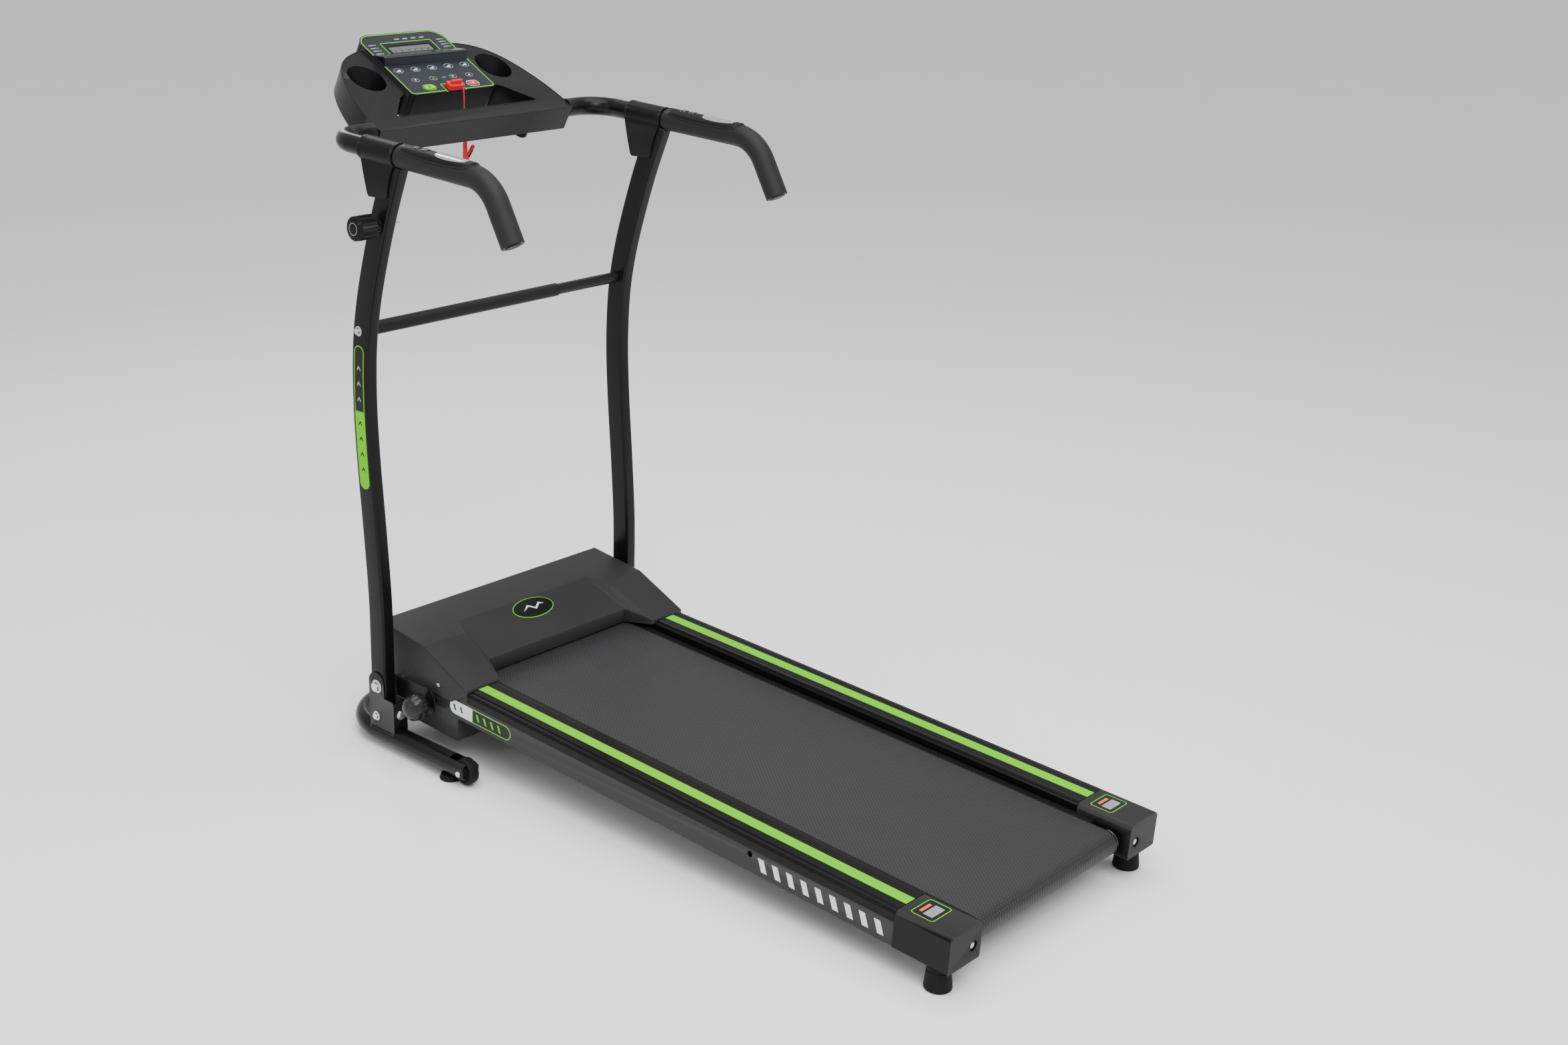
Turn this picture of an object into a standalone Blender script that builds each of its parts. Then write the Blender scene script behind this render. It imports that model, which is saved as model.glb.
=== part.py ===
"""Folding home treadmill: one named object for each sub-part.

Metres, +Z up, +Y is the way the runner faces, X runs across.  The runner's left is -X.
Three empties carry the three frames in which the pieces are drawn:
  base_datum     on the floor, in the plane of symmetry, under the rear end of the deck
  deck_datum     on the centre line of the deck's top, tilted with the deck
  console_datum  on the console tray's rear edge, tilted with the tray
"""
import math

import bmesh
import bpy
from mathutils import Matrix, Vector

# ---------------------------------------------------------------- driving dimensions
SHIFT = (0.0195, -0.7449, 0.0)       # puts the overall box's centre above the origin
GAP = 0.0003                        # between pieces that touch

DECK_TILT = math.radians(2.807)     # the deck rises towards the motor
DECK_RISE = 0.1012                  # height of the deck's top line at its rear end
PIVOT = (1.1853, 0.1205)            # fold axis, y and z
FOLD_ANGLE = math.radians(89.0)

RAIL_INNER, RAIL_OUTER = 0.1946, 0.2705     # plastic foot rails, half widths
STEEL_INNER, STEEL_OUTER = 0.2325, 0.2683   # steel side rails, half widths
STEEL_TOP, STEEL_BOTTOM = -0.0062, -0.0585
STEEL_WALL = 0.0018
RAIL_START, RAIL_END = 0.0958, 1.0012
CAP_LENGTH = 0.0955
BELT_HALF = 0.180
BELT_THICK = 0.0013
ROLLER_R = 0.0185
ROLLER_Z = -0.0351
REAR_ROLLER_Y, FRONT_ROLLER_Y = 0.031, 1.090
SHAFT_R = 0.006
PULLEY_R, MOTOR_PULLEY_R = 0.028, 0.011
PULLEY_X = (0.1935, 0.2085)
MOTOR_AXIS = (1.172, -0.0172)
ADJUSTER_X = 0.2135
SWITCH_X, SWITCH_Z = -0.1850, -0.0700
HOOD_WALL = 0.0018

UPRIGHT_X = 0.3025                  # centre of each upright and base leg
UPRIGHT_SIZE = (0.025, 0.040)       # across, fore and aft
TUBE_WALL = 0.0018
BASE_R, BASE_Z = 0.019, 0.029
BASE_FRONT_Y, BASE_CORNER_R = 1.307, 0.100
LEG_END_Y = 0.9585
WHEEL_R, WHEEL_WIDTH = 0.0235, 0.018
WHEEL_AXIS = (0.9675, 0.0270)
PLATE_OUTER, PLATE_INNER = 0.3178, 0.2872   # outside faces of the foot brackets
BOLT_R, SMALL_BOLT_R = 0.005, 0.004
LOW_BOLT = (1.1890, 0.0630)
CROSSBAR = (1.2005, 0.7565)
LOCK_AXIS = (1.0873, 0.1095)
UPPER_LOCK_AXIS = (1.1400, 0.9410)
LOCK_PIN_R = 0.004
LOCK_PIN_TIP = 0.2712
UPPER_BOSS_END = -0.3290

HANDLE_X, HANDLE_R, GRIP_R = 0.3055, 0.0165, 0.0190
GRIP_START_Y = 1.0860
GRIP_END = (0.8277, 0.9474)
GRIP_BEND = (0.8795, 1.0406)
GRIP_BEND_R = 0.075
BEAM_AXIS, BEAM_R = (1.2620, 1.0680), 0.0095
HANDLE_SLOPE = (BEAM_AXIS[1] - GRIP_BEND[1]) / (BEAM_AXIS[0] - GRIP_BEND[0])
RAIL_INNER_END = 0.2225             # where the hand rails meet the console tray's sides

CONSOLE_REF = (1.2410, 1.0710)      # the tray's rear top edge, y and z
CONSOLE_TILT = math.radians(29.1)
TRAY_DEPTH, TRAY_WALL = 0.045, 0.0028
CUP_X, CUP_V, CUP_R = 0.1455, 0.1447, 0.0345
CUP_FLOOR_Z = 1.0855
MODULE_HALF = 0.0970
MODULE_V = (0.0770, 0.2600)
PANEL_W = (0.0038, 0.0068)          # under and top side of the console panel
START_KEY, STOP_KEY = (-0.0465, 0.0940), (0.0523, 0.0930)

MATERIALS = {                       # colour, roughness, metallic
    "painted_steel": ((0.012, 0.012, 0.013), 0.38, 0.3),
    "hood_plastic": ((0.055, 0.054, 0.056), 0.60, 0.0),
    "black_plastic": ((0.015, 0.015, 0.016), 0.45, 0.0),
    "gloss_black": ((0.008, 0.008, 0.010), 0.15, 0.0),
    "rubber": ((0.014, 0.014, 0.014), 0.80, 0.0),
    "grip_foam": ((0.020, 0.020, 0.021), 0.75, 0.0),
    "belt_fabric": ((0.045, 0.045, 0.048), 0.85, 0.0),
    "zinc_steel": ((0.62, 0.62, 0.60), 0.30, 1.0),
    "bare_steel": ((0.55, 0.55, 0.56), 0.35, 1.0),
    "sheet_steel": ((0.32, 0.32, 0.33), 0.45, 0.8),
    "panel_blue_grey": ((0.030, 0.036, 0.045), 0.35, 0.0),
    "lens": ((0.35, 0.38, 0.37), 0.10, 0.0),
    "key_green": ((0.45, 0.75, 0.10), 0.40, 0.0),
    "red_plastic": ((0.55, 0.02, 0.03), 0.40, 0.0),
    "board_green": ((0.02, 0.16, 0.06), 0.50, 0.0),
    "deck_board_wood": ((0.30, 0.20, 0.12), 0.60, 0.0),
    "motor_paint": ((0.05, 0.05, 0.06), 0.50, 0.5),
}


# ---------------------------------------------------------------- scene and frames
for old in list(bpy.data.objects):
    bpy.data.objects.remove(old, do_unlink=True)


def new_collection(name):
    collection = bpy.data.collections.new(name)
    bpy.context.scene.collection.children.link(collection)
    return collection


PARTS = new_collection("treadmill")
CUTTERS = new_collection("cutters")


def new_material(name, colour, roughness, metallic):
    material = bpy.data.materials.new(name)
    material.use_nodes = True
    shader = material.node_tree.nodes["Principled BSDF"]
    shader.inputs["Base Color"].default_value = (*colour, 1.0)
    shader.inputs["Roughness"].default_value = roughness
    shader.inputs["Metallic"].default_value = metallic
    material.diffuse_color = (*colour, 1.0)
    return material


PAINTS = {name: new_material(name, *look) for name, look in MATERIALS.items()}


def new_empty(name, location, tilt=0.0, parent=None):
    empty = bpy.data.objects.new(name, None)
    empty.location = location
    empty.rotation_euler = (tilt, 0.0, 0.0)
    empty.parent = parent
    empty.empty_display_size = 0.05
    PARTS.objects.link(empty)
    return empty


def to_deck(y, z):
    """A floor-frame point (y, z) in the deck's own tilted frame."""
    z = z - DECK_RISE
    cos, sin = math.cos(DECK_TILT), math.sin(DECK_TILT)
    return cos * y + sin * z, cos * z - sin * y


def unfold(y, z):
    """Where the deck point that lies at (y, z) when folded is when the deck is down."""
    dy, dz = y - PIVOT[0], z - PIVOT[1]
    cos, sin = math.cos(FOLD_ANGLE), math.sin(FOLD_ANGLE)
    return PIVOT[0] + cos * dy - sin * dz, PIVOT[1] + sin * dy + cos * dz


def to_console(y, z):
    """A floor-frame point (y, z) in the tray's frame: along the slope, and off it."""
    dy, dz = y - CONSOLE_REF[0], z - CONSOLE_REF[1]
    cos, sin = math.cos(CONSOLE_TILT), math.sin(CONSOLE_TILT)
    return cos * dy + sin * dz, cos * dz - sin * dy


BASE = new_empty("base_datum", SHIFT)
DECK_PIVOT = to_deck(*PIVOT)
DECK_AXIS = new_empty("deck_axis", (0.0, *PIVOT), DECK_TILT, BASE)
DECK = new_empty("deck_datum", (0.0, -DECK_PIVOT[0], -DECK_PIVOT[1]), 0.0, DECK_AXIS)
CONSOLE = new_empty("console_datum", (0.0, *CONSOLE_REF), CONSOLE_TILT, BASE)
LOCK_HOLE = to_deck(*LOCK_AXIS)
UPPER_LOCK_HOLE = to_deck(*unfold(*UPPER_LOCK_AXIS))


# ---------------------------------------------------------------- shape helpers
def mesh_object(name, bm):
    mesh = bpy.data.meshes.new(name)
    bm.to_mesh(mesh)
    bm.free()
    obj = bpy.data.objects.new(name, mesh)
    PARTS.objects.link(obj)
    return obj


def box(low, high, bevel=0.0):
    """A box between two corners, with its edges bevelled if asked."""
    low, high = Vector(low), Vector(high)
    bm = bmesh.new()
    size = Matrix.Diagonal((*(high - low), 1.0))
    bmesh.ops.create_cube(bm, size=1.0, matrix=Matrix.Translation((low + high) / 2) @ size)
    if bevel:
        bmesh.ops.bevel(bm, geom=bm.edges[:], offset=bevel, segments=2, affect="EDGES", profile=0.5)
    return mesh_object("piece", bm)


def rod(start, end, radius, end_radius=None, sides=20):
    """A round bar or cone from one point to another."""
    start, end = Vector(start), Vector(end)
    turn = (end - start).to_track_quat("Z", "Y").to_matrix().to_4x4()
    bm = bmesh.new()
    bmesh.ops.create_cone(
        bm, cap_ends=True, segments=sides, radius1=radius,
        radius2=radius if end_radius is None else end_radius,
        depth=(end - start).length, matrix=Matrix.Translation((start + end) / 2) @ turn)
    return mesh_object("piece", bm)


AXIS_FRAMES = {                     # where an outline's x and y, and its thickness, point
    "X": Matrix(((0, 0, 1, 0), (1, 0, 0, 0), (0, 1, 0, 0), (0, 0, 0, 1))),
    "Y": Matrix(((1, 0, 0, 0), (0, 0, -1, 0), (0, 1, 0, 0), (0, 0, 0, 1))),
    "Z": Matrix.Identity(4),
}


def plate(outlines, axis, low, high):
    """A flat outline, with inner outlines as holes, extruded along an axis.

    Along X the outline holds (y, z), along Y it holds (x, z), along Z it holds (x, y).
    """
    curve = bpy.data.curves.new("outline", "CURVE")
    curve.dimensions = "2D"
    curve.fill_mode = "BOTH"
    curve.extrude = (high - low) / 2
    for outline in outlines:
        spline = curve.splines.new("POLY")
        spline.points.add(len(outline) - 1)
        for point, (u, v) in zip(spline.points, outline):
            point.co = (u, v, 0.0, 1.0)
        spline.use_cyclic_u = True
    obj = bpy.data.objects.new("piece", curve)
    PARTS.objects.link(obj)
    middle = (low + high) / 2
    frame = AXIS_FRAMES[axis]
    obj.matrix_world = Matrix.Translation(frame.col[2].xyz * middle * (-1 if axis == "Y" else 1)) @ frame
    return joined([obj])


def tube(path, radius, resolution=4, wall=0.0, closed_ends=True):
    """A round tube along a path; with a wall it is hollow and its ends are open."""
    curve = bpy.data.curves.new("tube", "CURVE")
    curve.dimensions = "3D"
    curve.bevel_depth = radius
    curve.bevel_resolution = resolution
    curve.use_fill_caps = closed_ends and not wall
    spline = curve.splines.new("POLY")
    spline.points.add(len(path) - 1)
    for point, place in zip(spline.points, path):
        point.co = (*place, 1.0)
    obj = bpy.data.objects.new("piece", curve)
    PARTS.objects.link(obj)
    piece = joined([obj])
    if wall:
        thicken(piece, wall)
    return piece


def turned(profile, centre, axis="X", sides=20):
    """A closed profile of (distance along the axis, radius) turned about the axis."""
    bm = bmesh.new()
    points = [bm.verts.new((radius, 0.0, along)) for along, radius in profile]
    for first, second in zip(points, points[1:]):
        bm.edges.new((first, second))
    if profile[0][1] > 0 and profile[-1][1] > 0:
        bm.edges.new((points[-1], points[0]))
    obj = mesh_object("piece", bm)
    screw = obj.modifiers.new("turn", "SCREW")
    screw.steps = screw.render_steps = sides
    screw.use_merge_vertices = True
    screw.merge_threshold = 0.00005
    screw.use_smooth_shade = False
    towards = {"X": (1, 0, 0), "Y": (0, 1, 0), "Z": (0, 0, 1), "-X": (-1, 0, 0)}[axis]
    turn = Vector(towards).to_track_quat("Z", "Y").to_matrix().to_4x4()
    obj.matrix_world = Matrix.Translation(centre) @ turn
    return joined([obj])


def thicken(obj, wall):
    """Gives an open surface a wall, inwards from it."""
    shell = obj.modifiers.new("wall", "SOLIDIFY")
    shell.thickness = wall
    shell.offset = -1.0
    shell.use_even_offset = True


def joined(pieces):
    """One mesh object from several pieces, each of which stays a body of its own."""
    bpy.context.view_layer.update()
    graph = bpy.context.evaluated_depsgraph_get()
    bm = bmesh.new()
    for piece in pieces:
        mesh = bpy.data.meshes.new_from_object(piece.evaluated_get(graph))
        mesh.transform(piece.matrix_world)
        bm.from_mesh(mesh)
        bpy.data.meshes.remove(mesh)
    bmesh.ops.remove_doubles(bm, verts=bm.verts[:], dist=0.00001)
    closed = all(edge.is_manifold for edge in bm.edges)
    if closed:
        bmesh.ops.recalc_face_normals(bm, faces=bm.faces[:])
    for piece in pieces:
        bpy.data.objects.remove(piece, do_unlink=True)
    return mesh_object("piece", bm)


def cut(target, *tools, how="DIFFERENCE"):
    """A Boolean with each tool; the tools go to the cutters' collection."""
    for tool in tools:
        boolean = target.modifiers.new(how.lower(), "BOOLEAN")
        boolean.operation = how
        boolean.object = tool
        tool.name = "cutter"
        tool.hide_render = True
        tool.display_type = "WIRE"
        PARTS.objects.unlink(tool)
        CUTTERS.objects.link(tool)
    solid = joined([target])
    for tool in tools:
        bpy.data.objects.remove(tool, do_unlink=True)
    return solid


def mirrored(piece):
    """The same piece on the other side of the plane of symmetry."""
    bm = bmesh.new()
    bm.from_mesh(piece.data)
    bmesh.ops.transform(bm, matrix=Matrix.Diagonal((-1.0, 1.0, 1.0, 1.0)), verts=bm.verts[:])
    bmesh.ops.reverse_faces(bm, faces=bm.faces[:])
    return mesh_object("piece", bm)


def node(name, piece, frame, paint, origin=(0.0, 0.0, 0.0)):
    """Finishes a piece: its name, material, parent frame, and origin on its axis."""
    piece.name = piece.data.name = name
    piece.data.materials.clear()
    piece.data.materials.append(PAINTS[paint])
    piece.data.transform(Matrix.Translation(-Vector(origin)))
    piece.location = origin
    piece.parent = frame
    piece.data.shade_smooth()
    piece.data.set_sharp_from_angle(angle=math.radians(35))
    return piece


def pair(name, piece, frame, paint, origin=(0.0, 0.0, 0.0)):
    """Finishes a right-hand piece, and its mirror image for the left-hand side."""
    node("left_" + name, mirrored(piece), frame, paint, (-origin[0], *origin[1:]))
    node("right_" + name, piece, frame, paint, origin)


# ---------------------------------------------------------------- path helpers
def arc(centre, radius, start, end, steps):
    """Points on an arc of a plane, angles in degrees."""
    angles = [math.radians(start + (end - start) * step / steps) for step in range(steps + 1)]
    return [(centre[0] + radius * math.cos(a), centre[1] + radius * math.sin(a)) for a in angles]


def rounded_rectangle(low, high, radii, steps=4):
    """Corner radii in the order: low left, low right, high right, high left."""
    (x0, y0), (x1, y1) = low, high
    a, b, c, d = radii
    return (arc((x0 + a, y0 + a), a, 180, 270, steps) + arc((x1 - b, y0 + b), b, 270, 360, steps)
            + arc((x1 - c, y1 - c), c, 0, 90, steps) + arc((x0 + d, y1 - d), d, 90, 180, steps))


def rounded_path(points, radii, steps=6):
    """A path through corner points, each corner but the ends rounded to its radius."""
    points = [Vector(p) for p in points]
    path = [points[0]]
    for before, corner, after, radius in zip(points, points[1:], points[2:], radii):
        back, ahead = (before - corner).normalized(), (after - corner).normalized()
        half = back.angle(ahead) / 2
        centre = corner + (back + ahead).normalized() * radius / math.sin(half)
        start = corner + back * radius / math.tan(half) - centre
        end = corner + ahead * radius / math.tan(half) - centre
        sweep = start.angle(end)
        for step in range(steps + 1):
            t = step / steps
            path.append(centre + (start * math.sin((1 - t) * sweep) + end * math.sin(t * sweep))
                        / math.sin(sweep))
    return path + [points[-1]]


def smooth_path(points, steps):
    """A Catmull-Rom curve through the points."""
    points = [Vector(p) for p in points]
    ends = [2 * points[0] - points[1]] + points + [2 * points[-1] - points[-2]]
    path = []
    for a, b, c, d in zip(ends, ends[1:], ends[2:], ends[3:]):
        for step in range(steps):
            t = step / steps
            path.append(((2 * b) + (c - a) * t + (2 * a - 5 * b + 4 * c - d) * t ** 2
                         + (3 * b - a - 3 * c + d) * t ** 3) / 2)
    return path + [points[-1]]


def stadium(start, end, radius, steps=10, end_radius=None):
    """The outline of a band round two circles, in any direction."""
    end_radius = radius if end_radius is None else end_radius
    dy, dz = end[0] - start[0], end[1] - start[1]
    heading = math.degrees(math.atan2(dz, dy))
    lean = math.degrees(math.asin((radius - end_radius) / math.hypot(dy, dz)))
    return (arc(start, radius, heading + 90 - lean, heading + 270 + lean, steps)
            + arc(end, end_radius, heading - 90 + lean, heading + 90 - lean, steps))


def inset(outline, distance):
    """The outline, counter-clockwise, moved inwards by a distance on every side."""
    result = []
    count = len(outline)
    for index in range(count):
        here = Vector(outline[index])
        back = (here - Vector(outline[index - 1])).normalized()
        ahead = (Vector(outline[(index + 1) % count]) - here).normalized()
        normal_back, normal_ahead = Vector((-back.y, back.x)), Vector((-ahead.y, ahead.x))
        bisector = (normal_back + normal_ahead).normalized()
        result.append(tuple(here + bisector * distance / bisector.dot(normal_back)))
    return result


def hex_bolt(head, tip, head_size, shaft_r, head_height=0.0055, washer=0.0, nut_at=None):
    """A bolt whose head's underside is at one point and whose tip is at the other."""
    head, tip = Vector(head), Vector(tip)
    away = (head - tip).normalized()
    hexagon = rod(head + away * washer * 0.9, head + away * (washer + head_height), head_size, sides=6)
    more = [rod(tip, head + away * (washer + 0.001), shaft_r, sides=12)]
    if washer:
        more.append(rod(head, head + away * washer, head_size * 1.25, sides=20))
    if nut_at is not None:
        place = head - away * nut_at
        more.append(rod(place, place - away * 0.005, head_size, sides=6))
    return cut(hexagon, *more, how="UNION")


# ---------------------------------------------------------------- base and uprights
def bracket():
    """The right foot bracket: a channel for the upright, with a bolt through its rear flange."""
    rear, front, low, shoulder = 1.1420, 1.2090, 0.0360, 0.1000
    tab_r, thick, flange_bolt_z = 0.0205, 0.0025, 0.074
    outline = ([(rear, low), (front, low)] + arc((front - tab_r, 0.1250), tab_r, 0, 180, 8)
               + [(front - 2 * tab_r, shoulder), (rear, shoulder)])
    solid = plate([outline], "X", PLATE_INNER, PLATE_OUTER)
    channel = box((PLATE_INNER + thick, rear + thick, 0.0), (PLATE_OUTER - thick, 1.25, 0.20))
    saddle = rod((UPRIGHT_X, 1.10, BASE_Z), (UPRIGHT_X, 1.25, BASE_Z), BASE_R - 0.0006)
    solid = cut(solid, channel, saddle)
    stud = hex_bolt((UPRIGHT_X, rear + 0.0003, flange_bolt_z), (UPRIGHT_X, 1.1650, flange_bolt_z),
                    0.0065, SMALL_BOLT_R, 0.0045)
    return cut(solid, stud, how="UNION")


def build_base():
    side = [(LEG_END_Y, UPRIGHT_X), (BASE_FRONT_Y, UPRIGHT_X), (BASE_FRONT_Y, -UPRIGHT_X),
            (LEG_END_Y, -UPRIGHT_X)]
    path = rounded_path([(x, y, BASE_Z) for y, x in side], [BASE_CORNER_R] * 2, 5)
    frame_tube = joined([tube(path, BASE_R, 4, TUBE_WALL)])
    right_bracket = bracket()
    frame_tube = cut(frame_tube, mirrored(right_bracket), right_bracket, how="UNION")
    half_slot = WHEEL_WIDTH / 2 + 0.0015
    holes = [box((x - half_slot, 0.94, -0.01), (x + half_slot, 1.0, 0.07)) for x in (-UPRIGHT_X, UPRIGHT_X)]
    holes += [rod((-0.34, *place), (0.34, *place), radius + GAP, sides=16)
              for place, radius in ((PIVOT, BOLT_R), (LOW_BOLT, SMALL_BOLT_R), (WHEEL_AXIS, SMALL_BOLT_R))]
    node("base_frame", cut(frame_tube, *holes), BASE, "painted_steel")

    axle = hex_bolt((UPRIGHT_X + BASE_R + GAP, *WHEEL_AXIS), (UPRIGHT_X - BASE_R - 0.007, *WHEEL_AXIS),
                    0.0062, SMALL_BOLT_R, 0.004, nut_at=2 * BASE_R + 2 * GAP)
    pair("wheel_axle", axle, BASE, "zinc_steel")
    half = WHEEL_WIDTH / 2
    profile = [(-half, SMALL_BOLT_R + GAP), (-half, WHEEL_R - 0.002), (-half + 0.002, WHEEL_R),
               (half - 0.002, WHEEL_R), (half, WHEEL_R - 0.002), (half, SMALL_BOLT_R + GAP)]
    centre = (UPRIGHT_X, *WHEEL_AXIS)
    pair("wheel", turned(profile, centre, "X", 28), BASE, "rubber", centre)

    low_r, high_r, top = 0.0200, 0.0175, BASE_Z - BASE_R - GAP
    for name, x, y in (("leg_pad", UPRIGHT_X + 0.0008, 1.0080), ("front_pad", 0.150, BASE_FRONT_Y)):
        pair(name, rod((x, y, 0.0), (x, y, top), low_r, high_r, 24), BASE, "rubber")


UPRIGHT_LINE = [(1.1885, 0.0520), (1.1868, 0.1700), (1.1865, 0.2800), (1.1935, 0.4000),
                (1.2025, 0.5200), (1.2065, 0.6200), (1.2030, 0.7100), (1.1925, 0.7800),
                (1.1725, 0.8550), (1.1400, 0.9500), (1.1085, 1.0260)]


def rectangular_tube(path, size, corner, wall):
    """A hollow rectangular tube lofted along a path in a YZ plane, with both ends open."""
    half_x, half_y = size[0] / 2, size[1] / 2
    outer = rounded_rectangle((-half_x, -half_y), (half_x, half_y), [corner] * 4, 1)
    bm = bmesh.new()
    shells = []
    for outline in (outer, inset(outer, wall)):
        rings = []
        for index, place in enumerate(path):
            ahead = (path[min(index + 1, len(path) - 1)] - path[max(index - 1, 0)]).normalized()
            forward = Vector((0.0, ahead.z, -ahead.y))
            rings.append([bm.verts.new(place + Vector((u, 0.0, 0.0)) + forward * v) for u, v in outline])
        shells.append(rings)
    strips = [(lower, upper) for rings in shells for lower, upper in zip(rings, rings[1:])]
    strips += [(shells[0][end], shells[1][end]) for end in (0, -1)]
    for first, second in strips:
        for k in range(len(outer)):
            bm.faces.new((first[k - 1], first[k], second[k], second[k - 1]))
    bmesh.ops.recalc_face_normals(bm, faces=bm.faces[:])
    return mesh_object("piece", bm)


def upright(x):
    """A curved rectangular tube with its bolt holes; the left one has the upper lock's boss."""
    path = [Vector((x, y, z)) for y, z in UPRIGHT_LINE]
    post = rectangular_tube(path, UPRIGHT_SIZE, 0.005, TUBE_WALL)
    bores = [(PIVOT, BOLT_R), (LOW_BOLT, SMALL_BOLT_R), (CROSSBAR, SMALL_BOLT_R)]
    if x < 0:
        start = x - UPRIGHT_SIZE[0] / 2 + TUBE_WALL / 2
        boss = rod((start, *UPPER_LOCK_AXIS), (UPPER_BOSS_END, *UPPER_LOCK_AXIS), 0.0100, sides=24)
        post = cut(post, boss, how="UNION")
        bores.append((UPPER_LOCK_AXIS, LOCK_PIN_R))
    return cut(post, *[rod((x - 0.04, *place), (x + 0.04, *place), radius + GAP, sides=16)
                       for place, radius in bores])


def build_uprights():
    node("left_upright", upright(-UPRIGHT_X), BASE, "painted_steel")
    node("right_upright", upright(UPRIGHT_X), BASE, "painted_steel")

    nut_inside = PLATE_OUTER - STEEL_OUTER + STEEL_WALL + 2 * GAP
    pivot_bolt = hex_bolt((PLATE_OUTER + GAP, *PIVOT), (0.2560, *PIVOT), 0.0095, BOLT_R, 0.0060,
                          washer=0.0012, nut_at=nut_inside)
    shoulder = rod((STEEL_OUTER + GAP, *PIVOT), (PLATE_INNER - 0.0038, *PIVOT), 0.0080)
    pair("pivot_bolt", cut(pivot_bolt, shoulder, how="UNION"), BASE, "zinc_steel")

    nut_at = PLATE_OUTER - PLATE_INNER + 2 * GAP
    foot_bolt = hex_bolt((PLATE_OUTER + GAP, *LOW_BOLT), (PLATE_INNER - 0.0060, *LOW_BOLT), 0.0065,
                         SMALL_BOLT_R, 0.0042, nut_at=nut_at)
    pair("foot_bolt", foot_bolt, BASE, "zinc_steel")

    inner = UPRIGHT_X - UPRIGHT_SIZE[0] / 2 - GAP
    outer = UPRIGHT_X + UPRIGHT_SIZE[0] / 2 + GAP
    bar = rod((-inner, *CROSSBAR), (inner, *CROSSBAR), 0.0100, sides=24)
    right_bolt = hex_bolt((outer, *CROSSBAR), (inner - 0.010, *CROSSBAR), 0.0065, SMALL_BOLT_R, 0.0042)
    node("crossbar", cut(bar, mirrored(right_bolt), right_bolt, how="UNION"), BASE, "painted_steel")
    cover = tube([(-inner + 0.001, *CROSSBAR), (0.138, *CROSSBAR)], 0.0118, 6, 0.0015)
    node("crossbar_sleeve", joined([cover]), BASE, "black_plastic")


# ---------------------------------------------------------------- locks, left side only
def knob_hole(face, depth, sleeve_r):
    """The bottom of a turned knob: a ring round the sleeve, then the pin out to its tip."""
    return [(face, sleeve_r + 0.0007), (face - depth, sleeve_r + 0.0007),
            (face - depth, LOCK_PIN_R), (-LOCK_PIN_TIP, LOCK_PIN_R), (-LOCK_PIN_TIP, 0.0)]


def build_locks():
    y, z = LOCK_AXIS
    sleeve_r, bore_r = 0.0090, LOCK_PIN_R + GAP
    outline = ([(1.2060, 0.0900), (1.2060, 0.1370)] + arc((y - 0.0005, 0.1175), 0.0195, 90, 180, 5)
               + arc((y - 0.0005, 0.1095), 0.0195, 180, 270, 5))
    outer = -PLATE_INNER + GAP
    body = plate([outline], "X", outer, outer + 0.0031)
    sleeve = rod((-0.2770, y, z), (-0.2960, y, z), sleeve_r, sides=20)
    body = cut(body, sleeve, how="UNION")
    bolt_hole = rod((-0.27, *PIVOT), (-0.31, *PIVOT), BOLT_R + GAP, sides=16)
    body = cut(body, rod((-0.27, y, z), (-0.31, y, z), bore_r, sides=20), bolt_hole)
    node("lock_bracket", body, BASE, "painted_steel")

    face, end, ball_r = -0.2975, -0.3360, 0.0245
    dome = [(end + ball_r * (1 - math.cos(math.radians(a))), ball_r * math.sin(math.radians(a)))
            for a in (0, 20, 40, 55, 70, 90, 110)]
    profile = dome + [(face - 0.0015, 0.0200), (face, 0.0180)] + knob_hole(face, 0.010, sleeve_r)
    node("fold_lock_knob", turned(profile, (0.0, y, z)), BASE, "gloss_black", (face, y, z))

    y, z = UPPER_LOCK_AXIS
    face, end, flutes = UPPER_BOSS_END + 0.002, -0.3650, 10
    rim = [(y + r * math.cos(a), z + r * math.sin(a)) for a, r in
           ((2 * math.pi * (k + part) / flutes, radius) for k in range(flutes)
            for part, radius in ((0.0, 0.0205), (0.30, 0.0205), (0.42, 0.0188), (0.88, 0.0188)))]
    barrel = plate([rim], "X", end, face)
    counterbore = rod((face + 0.01, y, z), (face - 0.014, y, z), 0.0107, sides=24)
    pin = rod((-LOCK_PIN_TIP, y, z), (face - 0.020, y, z), LOCK_PIN_R, sides=20)
    knob = cut(cut(barrel, counterbore), pin, how="UNION")
    node("upper_lock_knob", knob, BASE, "black_plastic", (face, y, z))


# ---------------------------------------------------------------- handlebars
def rail_z(y):
    """Height of the hand rail's centre line."""
    return GRIP_BEND[1] + HANDLE_SLOPE * (y - GRIP_BEND[0])


def hand_rail_path(with_corner):
    points = [(HANDLE_X, *GRIP_END), (HANDLE_X, *GRIP_BEND)]
    radii = [GRIP_BEND_R]
    if with_corner:
        y, z = BEAM_AXIS
        points += [(HANDLE_X, y, z), (RAIL_INNER_END, y, z)]
        radii.append(0.055)
    else:
        points.append((HANDLE_X, GRIP_START_Y, rail_z(GRIP_START_Y)))
    return rounded_path(points, radii, 5)


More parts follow.
